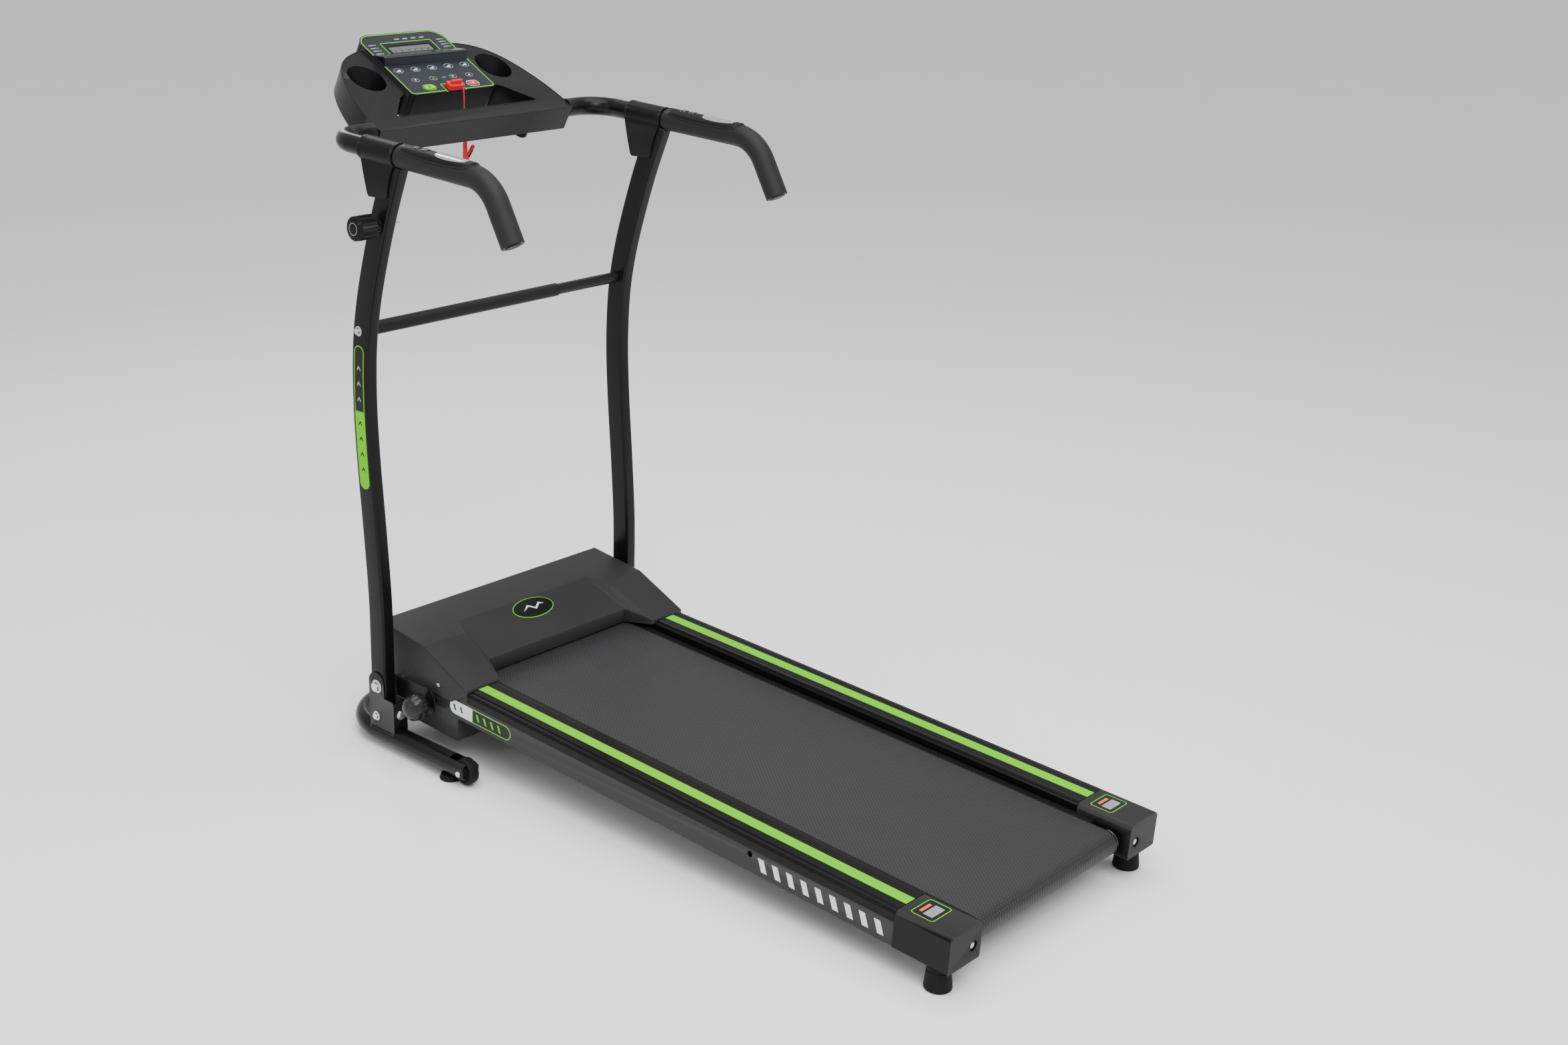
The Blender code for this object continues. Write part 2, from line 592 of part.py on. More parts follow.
def handlebar():
    """One U: two bent hand rails, and the thinner beam between them that carries the console."""
    right = joined([tube(hand_rail_path(True), HANDLE_R, 4, TUBE_WALL)])
    plug = rod((RAIL_INNER_END, *BEAM_AXIS), (RAIL_INNER_END + 0.003, *BEAM_AXIS), HANDLE_R - 0.001)
    right = cut(right, plug, how="UNION")
    reach = RAIL_INNER_END + 0.002
    beam = rod((-reach, *BEAM_AXIS), (reach, *BEAM_AXIS), BEAM_R)
    whole = cut(beam, mirrored(right), right, how="UNION")
    bore = rod((-reach - 0.01, *BEAM_AXIS), (reach + 0.01, *BEAM_AXIS), BEAM_R - TUBE_WALL, sides=16)
    return cut(whole, bore)


def clamp():
    """The right head clamp: a sleeve round the hand rail with two plates over the upright."""
    low, high, front, rear = 0.9860, 1.0580, 1.1740, 1.0890
    outline = [(1.1115, low), (1.1600, low), (front, high - 0.004), (front, high), (rear, high),
               (rear, high - 0.010)]
    half = UPRIGHT_SIZE[0] / 2
    solid = plate([outline], "X", UPRIGHT_X - half - 0.0033, UPRIGHT_X + half + 0.0033)
    ends = [Vector((HANDLE_X, y, rail_z(y))) for y in (rear, front)]
    solid = cut(solid, rod(ends[0], ends[1], HANDLE_R + 0.0040, sides=28), how="UNION")
    reach = (ends[1] - ends[0]) * 0.3
    bore = rod(ends[0] - reach, ends[1] + reach, HANDLE_R + GAP, sides=28)
    slot = box((UPRIGHT_X - half - GAP, 1.05, 0.95), (UPRIGHT_X + half + GAP, 1.22, 1.0355))
    return cut(solid, bore, slot)


def grip_arc(radius_low, radius_high, spread):
    """A band of a ring across the top of the grip, as an (x, z) outline."""
    return arc((0, 0), radius_high, 90 - spread, 90 + spread, 8) + arc(
        (0, 0), radius_low, 90 + spread, 90 - spread, 8)


def on_grip(outline, start, end):
    """A band laid along the grip, start and end measured back from the grip's front end."""
    piece = plate([outline], "Y", -end, -start)
    lean = Matrix.Rotation(math.atan(HANDLE_SLOPE), 4, "X")
    front = (HANDLE_X, GRIP_START_Y, rail_z(GRIP_START_Y))
    piece.data.transform(Matrix.Translation(front) @ lean)
    return piece


def build_handlebars():
    node("handlebar", handlebar(), BASE, "painted_steel")
    grip = tube(hand_rail_path(False), GRIP_R, 4, GRIP_R - HANDLE_R - GAP)
    pair("grip", joined([grip]), BASE, "grip_foam")
    pair("head_clamp", clamp(), BASE, "black_plastic")
    module = on_grip(grip_arc(GRIP_R + GAP, GRIP_R + 0.0020, 62), 0.014, 0.160)
    sensor = on_grip(grip_arc(GRIP_R + 0.0014, GRIP_R + 0.0030, 36), 0.082, 0.150)
    pair("pulse_sensor", cut(module, sensor, how="UNION"), BASE, "black_plastic")


# ---------------------------------------------------------------- console
def tray_outline():
    right = [(0.2205, 0.0), (0.2218, 0.018), (0.2200, 0.050), (0.2120, 0.095), (0.1960, 0.145),
             (0.1760, 0.182), (0.1500, 0.207), (0.1200, 0.221), (0.0975, 0.2255), (0.0975, 0.0950),
             (0.1180, 0.0860), (0.1600, 0.0335)]
    return right + [(-x, v) for x, v in reversed(right)]


def build_console():
    outline = tray_outline()
    tray = plate([outline], "Z", -TRAY_DEPTH, 0.010)
    hollow = plate([inset(outline, TRAY_WALL)], "Z", -TRAY_DEPTH - 0.01, -TRAY_WALL)
    tray = cut(tray, hollow)
    up = Vector((0.0, math.sin(CONSOLE_TILT), math.cos(CONSOLE_TILT)))
    cup_y = CONSOLE_REF[0] + CUP_V * math.cos(CONSOLE_TILT)
    floor_v, floor_w = to_console(cup_y, CUP_FLOOR_Z)
    for x in (-CUP_X, CUP_X):
        floor = Vector((x, floor_v, floor_w))
        well = rod(floor - up * 0.0025, floor + up * 0.090, CUP_R - 0.002, CUP_R + 0.0028, 28)
        tray = cut(tray, well, how="UNION")
    tray = cut(tray, box((-0.30, -0.05, 0.0), (0.30, 0.35, 0.10)))
    for x in (-CUP_X, CUP_X):
        floor = Vector((x, floor_v, floor_w))
        tray = cut(tray, rod(floor, floor + up * 0.090, CUP_R - 0.0045, CUP_R + 0.0005, 28))
    beam_v, beam_w = to_console(*BEAM_AXIS)
    tray = cut(tray, rod((-0.30, beam_v, beam_w), (0.30, beam_v, beam_w), BEAM_R + GAP, sides=24))
    node("console_tray", tray, CONSOLE, "black_plastic")

    head = beam_w - BEAM_R - GAP
    profile = [(-0.0600, 0.0), (-0.0600, 0.0100), (-0.0580, 0.0120), (-0.0480, 0.0120),
               (-0.0465, 0.0105), (-0.0465, 0.0030), (head, 0.0030), (head, 0.0)]
    node("tray_clamp_knob", turned(profile[::-1], (0.132, beam_v, 0.0), "Z", 20), CONSOLE, "rubber")

    low, high = MODULE_V
    shape = rounded_rectangle((-MODULE_HALF, low), (MODULE_HALF, high), (0.014, 0.014, 0.030, 0.030))
    housing = plate([inset(shape, 0.0010)], "Z", -0.0460, PANEL_W[0] - GAP)
    housing = cut(housing, plate([inset(shape, 0.0035)], "Z", -0.0435, 0.05))
    node("console_housing", housing, CONSOLE, "black_plastic")

    panel = plate([inset(shape, 0.0003)], "Z", *PANEL_W)
    window = box((-0.0480, 0.2010, -0.01), (0.0480, 0.2210, 0.02))

    def key_shape(centre, grow, w_low, w_high):
        (x, v), half = centre, 0.0055
        return plate([stadium((x - half, v), (x + half, v), 0.0058 + grow, 8)], "Z", w_low, w_high)

    holes = [key_shape(place, GAP, -0.01, 0.02) for place in (START_KEY, STOP_KEY)]
    node("console_panel", cut(panel, window, *holes), CONSOLE, "panel_blue_grey")
    lens = box((-0.0477, 0.2013, PANEL_W[0]), (0.0477, 0.2207, PANEL_W[1] - 0.0004))
    node("display_lens", lens, CONSOLE, "lens")
    key_low, key_high = PANEL_W[0] + 0.0012, PANEL_W[1] + 0.0011
    for name, place, paint in (("start_key", START_KEY, "key_green"), ("stop_key", STOP_KEY, "red_plastic")):
        node(name, key_shape(place, 0.0, key_low, key_high), CONSOLE, paint, (*place, key_high))

    board = box((-0.0850, 0.0900, -0.0200), (0.0850, 0.2420, -0.0184))
    posts = [rod((x, v, -0.0435 + GAP), (x, v, -0.0190), 0.004, sides=10)
             for x in (-0.078, 0.078) for v in (0.098, 0.234)]
    node("circuit_board", cut(board, *posts, how="UNION"), CONSOLE, "board_green")

    top = PANEL_W[1] + GAP
    wedge = [(0.1645, top), (0.1990, top), (0.1745, 0.0198), (0.1705, 0.0198)]
    node("device_ledge", plate([wedge], "X", -0.0950, 0.0950), CONSOLE, "gloss_black")


SAFETY_KEY = (0.0035, 0.0862)       # centre on the panel, across and along the slope
CORD_R = 0.00125
CORD_X = 0.0140
CORD_DROP_Y = 1.2996
CLIP_TOP_Z = 1.0270


def cord_route():
    """Out of the key's lower edge, over the panel's edge, then straight down."""
    cos, sin = math.cos(CONSOLE_TILT), math.sin(CONSOLE_TILT)

    def floor_frame(v, w):
        return (CORD_X, CONSOLE_REF[0] + cos * v - sin * w, CONSOLE_REF[1] + sin * v + cos * w)

    start = floor_frame(SAFETY_KEY[1] - 0.0085 - GAP, PANEL_W[1] + 0.0045)
    lip_z = start[2] - 0.0020
    drops = (lip_z - 0.0080, lip_z - 0.0300, (lip_z + CLIP_TOP_Z) / 2, CLIP_TOP_Z + GAP)
    guide = [start, (CORD_X, CORD_DROP_Y + 0.0012, lip_z)]
    guide += [(CORD_X, CORD_DROP_Y, z) for z in drops]
    return smooth_path(guide, 4)


def build_safety_key():
    x, v = SAFETY_KEY
    base = PANEL_W[1] + GAP
    block = box((x - 0.0165, v - 0.0085, base), (x + 0.0165, v + 0.0085, base + 0.0085), 0.0015)
    ridge = box((x - 0.0125, v - 0.0030, base + 0.004), (x + 0.0125, v + 0.0030, base + 0.0150), 0.0012)
    node("safety_key", cut(block, ridge, how="UNION"), CONSOLE, "red_plastic", (x, v, base))
    node("key_cord", tube(cord_route(), CORD_R, 2), BASE, "red_plastic")

    x, y, top, low = CORD_X, CORD_DROP_Y, CLIP_TOP_Z, CLIP_TOP_Z - 0.034
    arm_x, arm_z, half = x + 0.0185, low + 0.0230, 0.0028
    outline = [(x - half, top), (x - half - 0.001, low + 0.002), (x, low), (x + 0.0050, low),
               (arm_x + half, arm_z - 0.001), (arm_x, arm_z + 0.002), (arm_x - half, arm_z),
               (x + half + 0.001, low + 0.0075), (x + half, top)]
    node("key_clip", plate([outline], "Y", y - half, y + half), BASE, "red_plastic")


# ---------------------------------------------------------------- deck
def foot_rail_outline():
    """The right foot rail's section, (x, z): stepped top, outer skirt and inner lip."""
    return [(RAIL_INNER, -0.0135), (0.1975, -0.0135), (0.1985, -0.0060), (0.2030, -0.0032),
            (0.2450, -0.0032), (0.2450, -0.0059), (0.2688, -0.0059), (0.2688, -0.0190),
            (RAIL_OUTER, -0.0190), (RAIL_OUTER, -0.0060), (0.2660, -0.0022), (0.2592, -0.0022),
            (0.2580, 0.0), (0.2022, 0.0), (0.2010, -0.0030), (0.1965, -0.0030), (RAIL_INNER, -0.0045)]


def steel_rail():
    wall = STEEL_WALL
    rail = plate([
        [(STEEL_INNER, STEEL_BOTTOM), (STEEL_OUTER, STEEL_BOTTOM), (STEEL_OUTER, STEEL_TOP),
         (STEEL_INNER, STEEL_TOP)],
        [(STEEL_INNER + wall, STEEL_BOTTOM + wall), (STEEL_OUTER - wall, STEEL_BOTTOM + wall),
         (STEEL_OUTER - wall, STEEL_TOP - wall), (STEEL_INNER + wall, STEEL_TOP - wall)],
    ], "Y", 0.0120, 1.2380)
    places = ((DECK_PIVOT, BOLT_R + GAP), (LOCK_HOLE, LOCK_PIN_R + 0.001),
              (UPPER_LOCK_HOLE, LOCK_PIN_R + 0.001))
    return cut(rail, *[rod((0.2600, *place), (0.28, *place), radius, sides=16)
                       for place, radius in places])


def lift_handle():
    """The square tube under the rear of the deck, bent into a shallow U."""
    half, knee_x, knee_z = 0.008, 0.2230, -0.0830
    top = STEEL_BOTTOM + STEEL_WALL / 2
    right_side = [(0.2500 + half, top), (knee_x + half, knee_z - half + 0.004),
                  (knee_x + half - 0.004, knee_z - half)]
    inner_side = [(knee_x - half, knee_z + half), (0.2500 - half, top)]
    outline = (right_side + [(-x, z) for x, z in reversed(right_side)]
               + [(-x, z) for x, z in inner_side[::-1]] + inner_side)
    return plate([outline], "Y", 0.1380, 0.1540)


def build_deck_frame():
    """The welded deck frame with its lifting handle, the foot rails and the board."""
    right = steel_rail()
    reach = STEEL_INNER + STEEL_WALL / 2
    members = [box((-reach, y - 0.010, -0.0505), (reach, y + 0.010, -0.0319)) for y in (0.20, 0.58, 0.96)]
    members.append(box((-reach, 1.1400, STEEL_BOTTOM), (reach, 1.2320, -0.0558)))
    members.append(lift_handle())
    node("deck_frame", cut(mirrored(right), right, *members, how="UNION"), DECK, "painted_steel")

    pair("foot_rail", plate([foot_rail_outline()], "Y", RAIL_START, RAIL_END), DECK, "gloss_black")
    half, neck, rear, shoulder, front = 0.2275, 0.1935, 0.0625, RAIL_START + 0.001, 1.0580
    outline = [(-neck, rear), (neck, rear), (neck, shoulder), (half, shoulder), (half, front),
               (-half, front), (-half, shoulder), (-neck, shoulder)]
    node("deck_board", plate([outline], "Z", -0.0316, -0.0166), DECK, "deck_board_wood")


def build_end_caps():
    """End caps, each with a pocket for the steel rail and a bay for the belt adjuster."""
    cap = box((RAIL_INNER, 0.0, -0.0605), (RAIL_OUTER, CAP_LENGTH, -0.0008), 0.0022)
    pocket = box((STEEL_INNER - 0.0005, 0.0060, STEEL_BOTTOM - 0.0005),
                 (STEEL_OUTER + 0.0005, 0.12, STEEL_TOP + 0.0005))
    bay = box((0.1985, 0.0040, -0.0565), (0.2290, 0.12, -0.0050))
    slot = box((0.19, 0.0215, ROLLER_Z - SHAFT_R - 0.0006), (0.20, 0.0450, ROLLER_Z + SHAFT_R + 0.0006))
    hole = rod((ADJUSTER_X, -0.01, ROLLER_Z), (ADJUSTER_X, 0.01, ROLLER_Z), 0.0050, sides=16)
    pair("end_cap", cut(cap, pocket, bay, slot, hole), DECK, "black_plastic")
    foot = rod((0.2470, 0.0330, 0.0), (0.2470, 0.0330, 0.0410), 0.0205, 0.0170, 28)
    pair("rear_foot", foot, BASE, "rubber")


def adjuster(x):
    """A belt adjuster bolt, which pulls the rear shaft's end back."""
    profile = [(0.0015, 0.0), (0.0015, 0.0045), (0.0090, 0.0045), (0.0090, 0.0030), (0.0500, 0.0030),
               (0.0500, 0.0)]
    return turned(profile[::-1], (x, 0.0, ROLLER_Z), "Y", 14)


def build_belt_and_rollers():
    reach = STEEL_INNER - GAP
    front = rod((-reach, FRONT_ROLLER_Y, ROLLER_Z), (reach, FRONT_ROLLER_Y, ROLLER_Z), SHAFT_R, sides=16)
    node("front_shaft", front, DECK, "bare_steel")
    rear = rod((-0.2270, REAR_ROLLER_Y, ROLLER_Z), (0.2270, REAR_ROLLER_Y, ROLLER_Z), SHAFT_R, sides=16)
    rear = cut(rear, adjuster(-ADJUSTER_X), adjuster(ADJUSTER_X), how="UNION")
    node("rear_shaft", rear, DECK, "bare_steel")

    length, bore, end = 0.185, SHAFT_R + GAP, 0.012
    low, high = PULLEY_X
    flange = 0.0015
    hollow = [(length - end, bore), (length - end, ROLLER_R - 0.002), (-length + end, ROLLER_R - 0.002),
              (-length + end, bore)]
    plain = [(-length, bore), (-length, ROLLER_R), (length, ROLLER_R), (length, bore)]
    with_pulley = [(-length, bore), (-length, ROLLER_R), (length, ROLLER_R), (length, 0.011),
                   (low, 0.011), (low, PULLEY_R + 0.002), (low + flange, PULLEY_R + 0.002),
                   (low + flange, PULLEY_R), (high - flange, PULLEY_R),
                   (high - flange, PULLEY_R + 0.002), (high, PULLEY_R + 0.002), (high, bore)]
    for name, y, outside in (("front_roller", FRONT_ROLLER_Y, with_pulley),
                             ("rear_roller", REAR_ROLLER_Y, plain)):
        centre = (0.0, y, ROLLER_Z)
        node(name, turned(outside + hollow, centre, "X", 24), DECK, "bare_steel", centre)

    ends = (REAR_ROLLER_Y, ROLLER_Z), (FRONT_ROLLER_Y, ROLLER_Z)
    inner_r = ROLLER_R + GAP
    loop = plate([stadium(*ends, inner_r + BELT_THICK, 12), stadium(*ends, inner_r, 12)],
                 "X", -BELT_HALF, BELT_HALF)
    node("running_belt", loop, DECK, "belt_fabric")

    y, z = MOTOR_AXIS
    body = turned([(0.0100, 0.0), (0.0100, 0.0340), (0.0140, 0.0380), (0.1560, 0.0380), (0.1600, 0.0340),
                   (0.1600, 0.0053), (0.1450, 0.0053), (0.1450, 0.0)], (0.0, y, z), "X", 24)
    node("drive_motor", body, DECK, "motor_paint")
    rotor = turned([(0.1460, 0.0), (0.1460, 0.0050), (0.1660, 0.0050), (0.1660, 0.0360), (0.1840, 0.0360),
                    (0.1840, 0.0050), (low, 0.0050), (low, MOTOR_PULLEY_R), (high, MOTOR_PULLEY_R),
                    (high, 0.0)], (0.0, y, z), "X", 24)
    node("motor_flywheel", rotor, DECK, "bare_steel", (0.1750, y, z))
    around = (FRONT_ROLLER_Y, ROLLER_Z), MOTOR_AXIS
    thick = 0.0017
    bands = [stadium(*around, PULLEY_R + GAP + more, 16, MOTOR_PULLEY_R + GAP + more)
             for more in (thick, 0.0)]
    node("drive_belt", plate(bands, "X", low + 0.0020, high - 0.0020), DECK, "rubber")


def hood_surface():
    """The hood's outside, right half: flat top, side wing, and the tongue between the wings."""
    top_z, crease_z, tongue_z = 0.0575, 0.0478, 0.0509
    points = {
        "front_mid": (0.0, 1.2384, top_z), "front_side": (RAIL_OUTER, 1.2384, top_z),
        "foot_mid": (0.0, 1.2465, -0.0300), "foot_side": (RAIL_OUTER, 1.2465, -0.0300),
        "crease_side": (RAIL_OUTER, 1.1152, crease_z), "crease_in": (0.1763, 1.1122, crease_z),
        "tongue_side": (0.1598, 1.1520, tongue_z), "tongue_mid": (0.0, 1.1520, tongue_z),
        "edge_side": (0.1702, 1.0551, 0.0150), "edge_mid": (0.0, 1.0551, 0.0150),
        "lip_side": (0.1712, 1.0575, -0.0122), "lip_mid": (0.0, 1.0575, -0.0122),
        "wing_out": (RAIL_OUTER, 1.0030, 0.0030), "wing_in": (0.1915, 1.0030, 0.0030),
        "heel_out": (RAIL_OUTER, 1.0030, -0.0055), "heel_in": (0.1915, 1.0030, -0.0055),
        "skirt_rear": (RAIL_OUTER, 1.0400, -0.0300),
    }
    faces = [
        ("front_mid", "foot_mid", "foot_side", "front_side"),
        ("front_mid", "front_side", "crease_side", "crease_in", "tongue_side", "tongue_mid"),
        ("tongue_mid", "tongue_side", "edge_side", "edge_mid"),
        ("edge_mid", "edge_side", "lip_side", "lip_mid"),
        ("crease_in", "crease_side", "wing_out", "wing_in"),
        ("wing_in", "wing_out", "heel_out", "heel_in"),
        ("tongue_side", "crease_in", "wing_in", "edge_side"),
        ("edge_side", "wing_in", "heel_in", "lip_side"),
        ("front_side", "foot_side", "skirt_rear", "heel_out", "wing_out", "crease_side"),
    ]
    bm = bmesh.new()
    corners = {name: bm.verts.new(place) for name, place in points.items()}
    for face in faces:
        bm.faces.new([corners[name] for name in face])
    bmesh.ops.triangulate(bm, faces=bm.faces[:])
    half = mesh_object("piece", bm)
    whole = joined([mirrored(half), half])
    bm = bmesh.new()
    bm.from_mesh(whole.data)
    bmesh.ops.recalc_face_normals(bm, faces=bm.faces[:])
    top = max(bm.faces, key=lambda face: face.calc_center_median().z)
    if top.normal.z < 0:
        bmesh.ops.reverse_faces(bm, faces=bm.faces[:])
    bm.to_mesh(whole.data)
    bm.free()
    return whole


def build_motor_bay():
    hood = hood_surface()
    thicken(hood, HOOD_WALL)
    node("motor_hood", joined([hood]), DECK, "hood_plastic")

    half, rear, front, low, wall = 0.2647, 1.0300, 1.2500, -0.1040, 0.0015
    pan = box((-half, rear, low), (half, front, -0.0306))
    inside = box((-half + wall, rear + wall, low + wall), (half - wall, front - wall, 0.0))
    above = box((-0.30, 1.0, STEEL_BOTTOM - GAP), (0.30, front - wall, 0.0))
    x, z, half_w, half_h = SWITCH_X, SWITCH_Z, 0.0123, 0.0087
    opening = box((x - half_w, 1.24, z - half_h), (x + half_w, 1.27, z + half_h))
    louvres = [box((side - 0.060, 1.0480 + 0.012 * row, low - 0.01),
                   (side + 0.060, 1.0520 + 0.012 * row, low + 0.01))
               for side in (-0.12, 0.12) for row in range(4)]
    node("belly_pan", cut(pan, inside, above, opening, *louvres), DECK, "sheet_steel")

    face = front + GAP
    panel = box((x - 0.0165, face, z - 0.0125), (x + 0.0800, face + 0.0025, z + 0.0125))
    gland_x = x + 0.0560
    gland = rod((gland_x, face + 0.001, z), (gland_x, face + 0.0095, z), 0.0085, 0.0070, 20)
    bore = rod((gland_x, face + 0.005, z), (gland_x, face + 0.02, z), 0.0040, sides=16)
    opening = box((x - half_w, 1.24, z - half_h), (x + half_w, 1.27, z + half_h))
    node("power_inlet", cut(cut(panel, gland, how="UNION"), bore, opening), DECK, "black_plastic")
    axis = (x, face + 0.0007, z)
    rocker = box((-half_w + GAP, -0.0035, -0.0072), (half_w - GAP, 0.0035, 0.0072), 0.0006)
    rocker.data.transform(Matrix.Translation(axis) @ Matrix.Rotation(math.radians(-8), 4, "X"))
    node("power_switch", rocker, DECK, "red_plastic", axis)

    controller = box((-0.2150, 1.0600, low + wall + GAP), (-0.0600, 1.2150, -0.0640), 0.002)
    node("motor_controller", controller, DECK, "sheet_steel")


build_base()
build_uprights()
build_locks()
build_handlebars()
build_console()
build_safety_key()
build_deck_frame()
build_end_caps()
build_belt_and_rollers()
build_motor_bay()
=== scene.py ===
"""Looks of the folding home treadmill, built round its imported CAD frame.

The pieces are drawn in the same three frames as the CAD: the floor frame, the tilted deck frame
and the tilted console frame.  The runner's left is -X, and the runner faces +Y.
"""
import math

import bmesh
import bpy
from mathutils import Matrix, Vector


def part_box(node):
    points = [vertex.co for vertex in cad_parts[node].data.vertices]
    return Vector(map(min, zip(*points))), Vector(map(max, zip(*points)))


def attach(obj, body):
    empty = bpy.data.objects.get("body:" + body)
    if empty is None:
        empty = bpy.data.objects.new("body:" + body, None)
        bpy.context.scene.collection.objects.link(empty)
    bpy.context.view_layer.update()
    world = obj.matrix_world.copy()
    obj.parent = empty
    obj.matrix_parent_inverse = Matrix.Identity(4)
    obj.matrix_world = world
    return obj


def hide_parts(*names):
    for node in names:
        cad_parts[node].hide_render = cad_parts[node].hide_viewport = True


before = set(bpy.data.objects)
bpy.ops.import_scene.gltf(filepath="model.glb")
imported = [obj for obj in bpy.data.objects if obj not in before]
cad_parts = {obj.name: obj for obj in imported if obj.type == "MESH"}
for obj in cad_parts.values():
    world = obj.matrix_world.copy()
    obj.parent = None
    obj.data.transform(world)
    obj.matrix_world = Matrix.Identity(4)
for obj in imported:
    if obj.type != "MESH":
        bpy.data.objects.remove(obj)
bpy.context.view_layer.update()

# ---------------------------------------------------------------- the frame's own measures
WHEEL_LOW, WHEEL_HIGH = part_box("left_wheel")
RIGHT_LOW, RIGHT_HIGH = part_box("right_wheel")
UPRIGHT_X = (RIGHT_LOW.x + RIGHT_HIGH.x - WHEEL_LOW.x - WHEEL_HIGH.x) / 4
SHIFT = Vector(((RIGHT_LOW.x + RIGHT_HIGH.x + WHEEL_LOW.x + WHEEL_HIGH.x) / 4,
                (WHEEL_LOW.y + WHEEL_HIGH.y) / 2 - 0.9675, 0.0))
DECK_TILT, DECK_RISE = math.radians(2.807), 0.1012
CONSOLE_TILT, CONSOLE_REF = math.radians(29.1), (1.2410, 1.0710)
GAP = 0.0003

FLOOR_FRAME = Matrix.Translation(SHIFT)
DECK_FRAME = FLOOR_FRAME @ Matrix.Translation((0, 0, DECK_RISE)) @ Matrix.Rotation(DECK_TILT, 4, "X")
CONSOLE_FRAME = (FLOOR_FRAME @ Matrix.Translation((0, *CONSOLE_REF))
                 @ Matrix.Rotation(CONSOLE_TILT, 4, "X"))

PIVOT = (1.1853, 0.1205)
LOW_BOLT = (1.1890, 0.0630)
WHEEL_AXIS = (0.9675, 0.0270)
CROSSBAR = (1.2005, 0.7565)
LOCK_AXIS, UPPER_LOCK_AXIS = (1.0873, 0.1095), (1.1400, 0.9410)
LOCK_PIN_R, LOCK_PIN_TIP = 0.004, 0.2712
PLATE_OUTER, PLATE_INNER = 0.3178, 0.2872
BASE_R, BASE_Z, BASE_FRONT_Y, BASE_CORNER_R, LEG_END_Y = 0.019, 0.029, 1.307, 0.100, 0.9585
HANDLE_X, HANDLE_R, GRIP_R = 0.3055, 0.0165, 0.0190
GRIP_END, GRIP_BEND, GRIP_BEND_R, GRIP_START_Y = (0.8277, 0.9474), (0.8795, 1.0406), 0.075, 1.0860
BEAM_AXIS, BEAM_R, RAIL_INNER_END = (1.2620, 1.0680), 0.0095, 0.2225
HANDLE_SLOPE = (BEAM_AXIS[1] - GRIP_BEND[1]) / (BEAM_AXIS[0] - GRIP_BEND[0])
RAIL_INNER, RAIL_OUTER = 0.1946, 0.2705
RAIL_START, RAIL_END = 0.0958, 1.0012
STEEL_OUTER = 0.2683
ROLLER_Z, REAR_ROLLER_Y, FRONT_ROLLER_Y, ROLLER_R = -0.0351, 0.031, 1.090, 0.0185
BELT_HALF, BELT_THICK = 0.180, 0.0013
MODULE_HALF, MODULE_V = 0.0970, (0.0770, 0.2600)
PANEL_W = (0.0038, 0.0068)
CUP_X, CUP_V, CUP_R, CUP_FLOOR_Z = 0.1455, 0.1447, 0.0345, 1.0855


# ---------------------------------------------------------------- materials
def mixed(tree, factor, first, second):
    """A colour mix of two colours or sockets; returns its result."""
    mix = tree.nodes.new("ShaderNodeMix")
    mix.data_type = "RGBA"
    for key, value in (("A", first), ("B", second)):
        if isinstance(value, tuple):
            mix.inputs[key].default_value = (*value, 1.0)
        else:
            tree.links.new(value, mix.inputs[key])
    tree.links.new(factor, mix.inputs["Factor"])
    return mix.outputs["Result"]


def bumped(tree, height, strength, depth):
    """Bumps the material's surface by a height socket."""
    bump = tree.nodes.new("ShaderNodeBump")
    bump.inputs["Strength"].default_value = strength
    bump.inputs["Distance"].default_value = depth
    tree.links.new(height, bump.inputs["Height"])
    tree.links.new(bump.outputs["Normal"], tree.nodes["Principled BSDF"].inputs["Normal"])


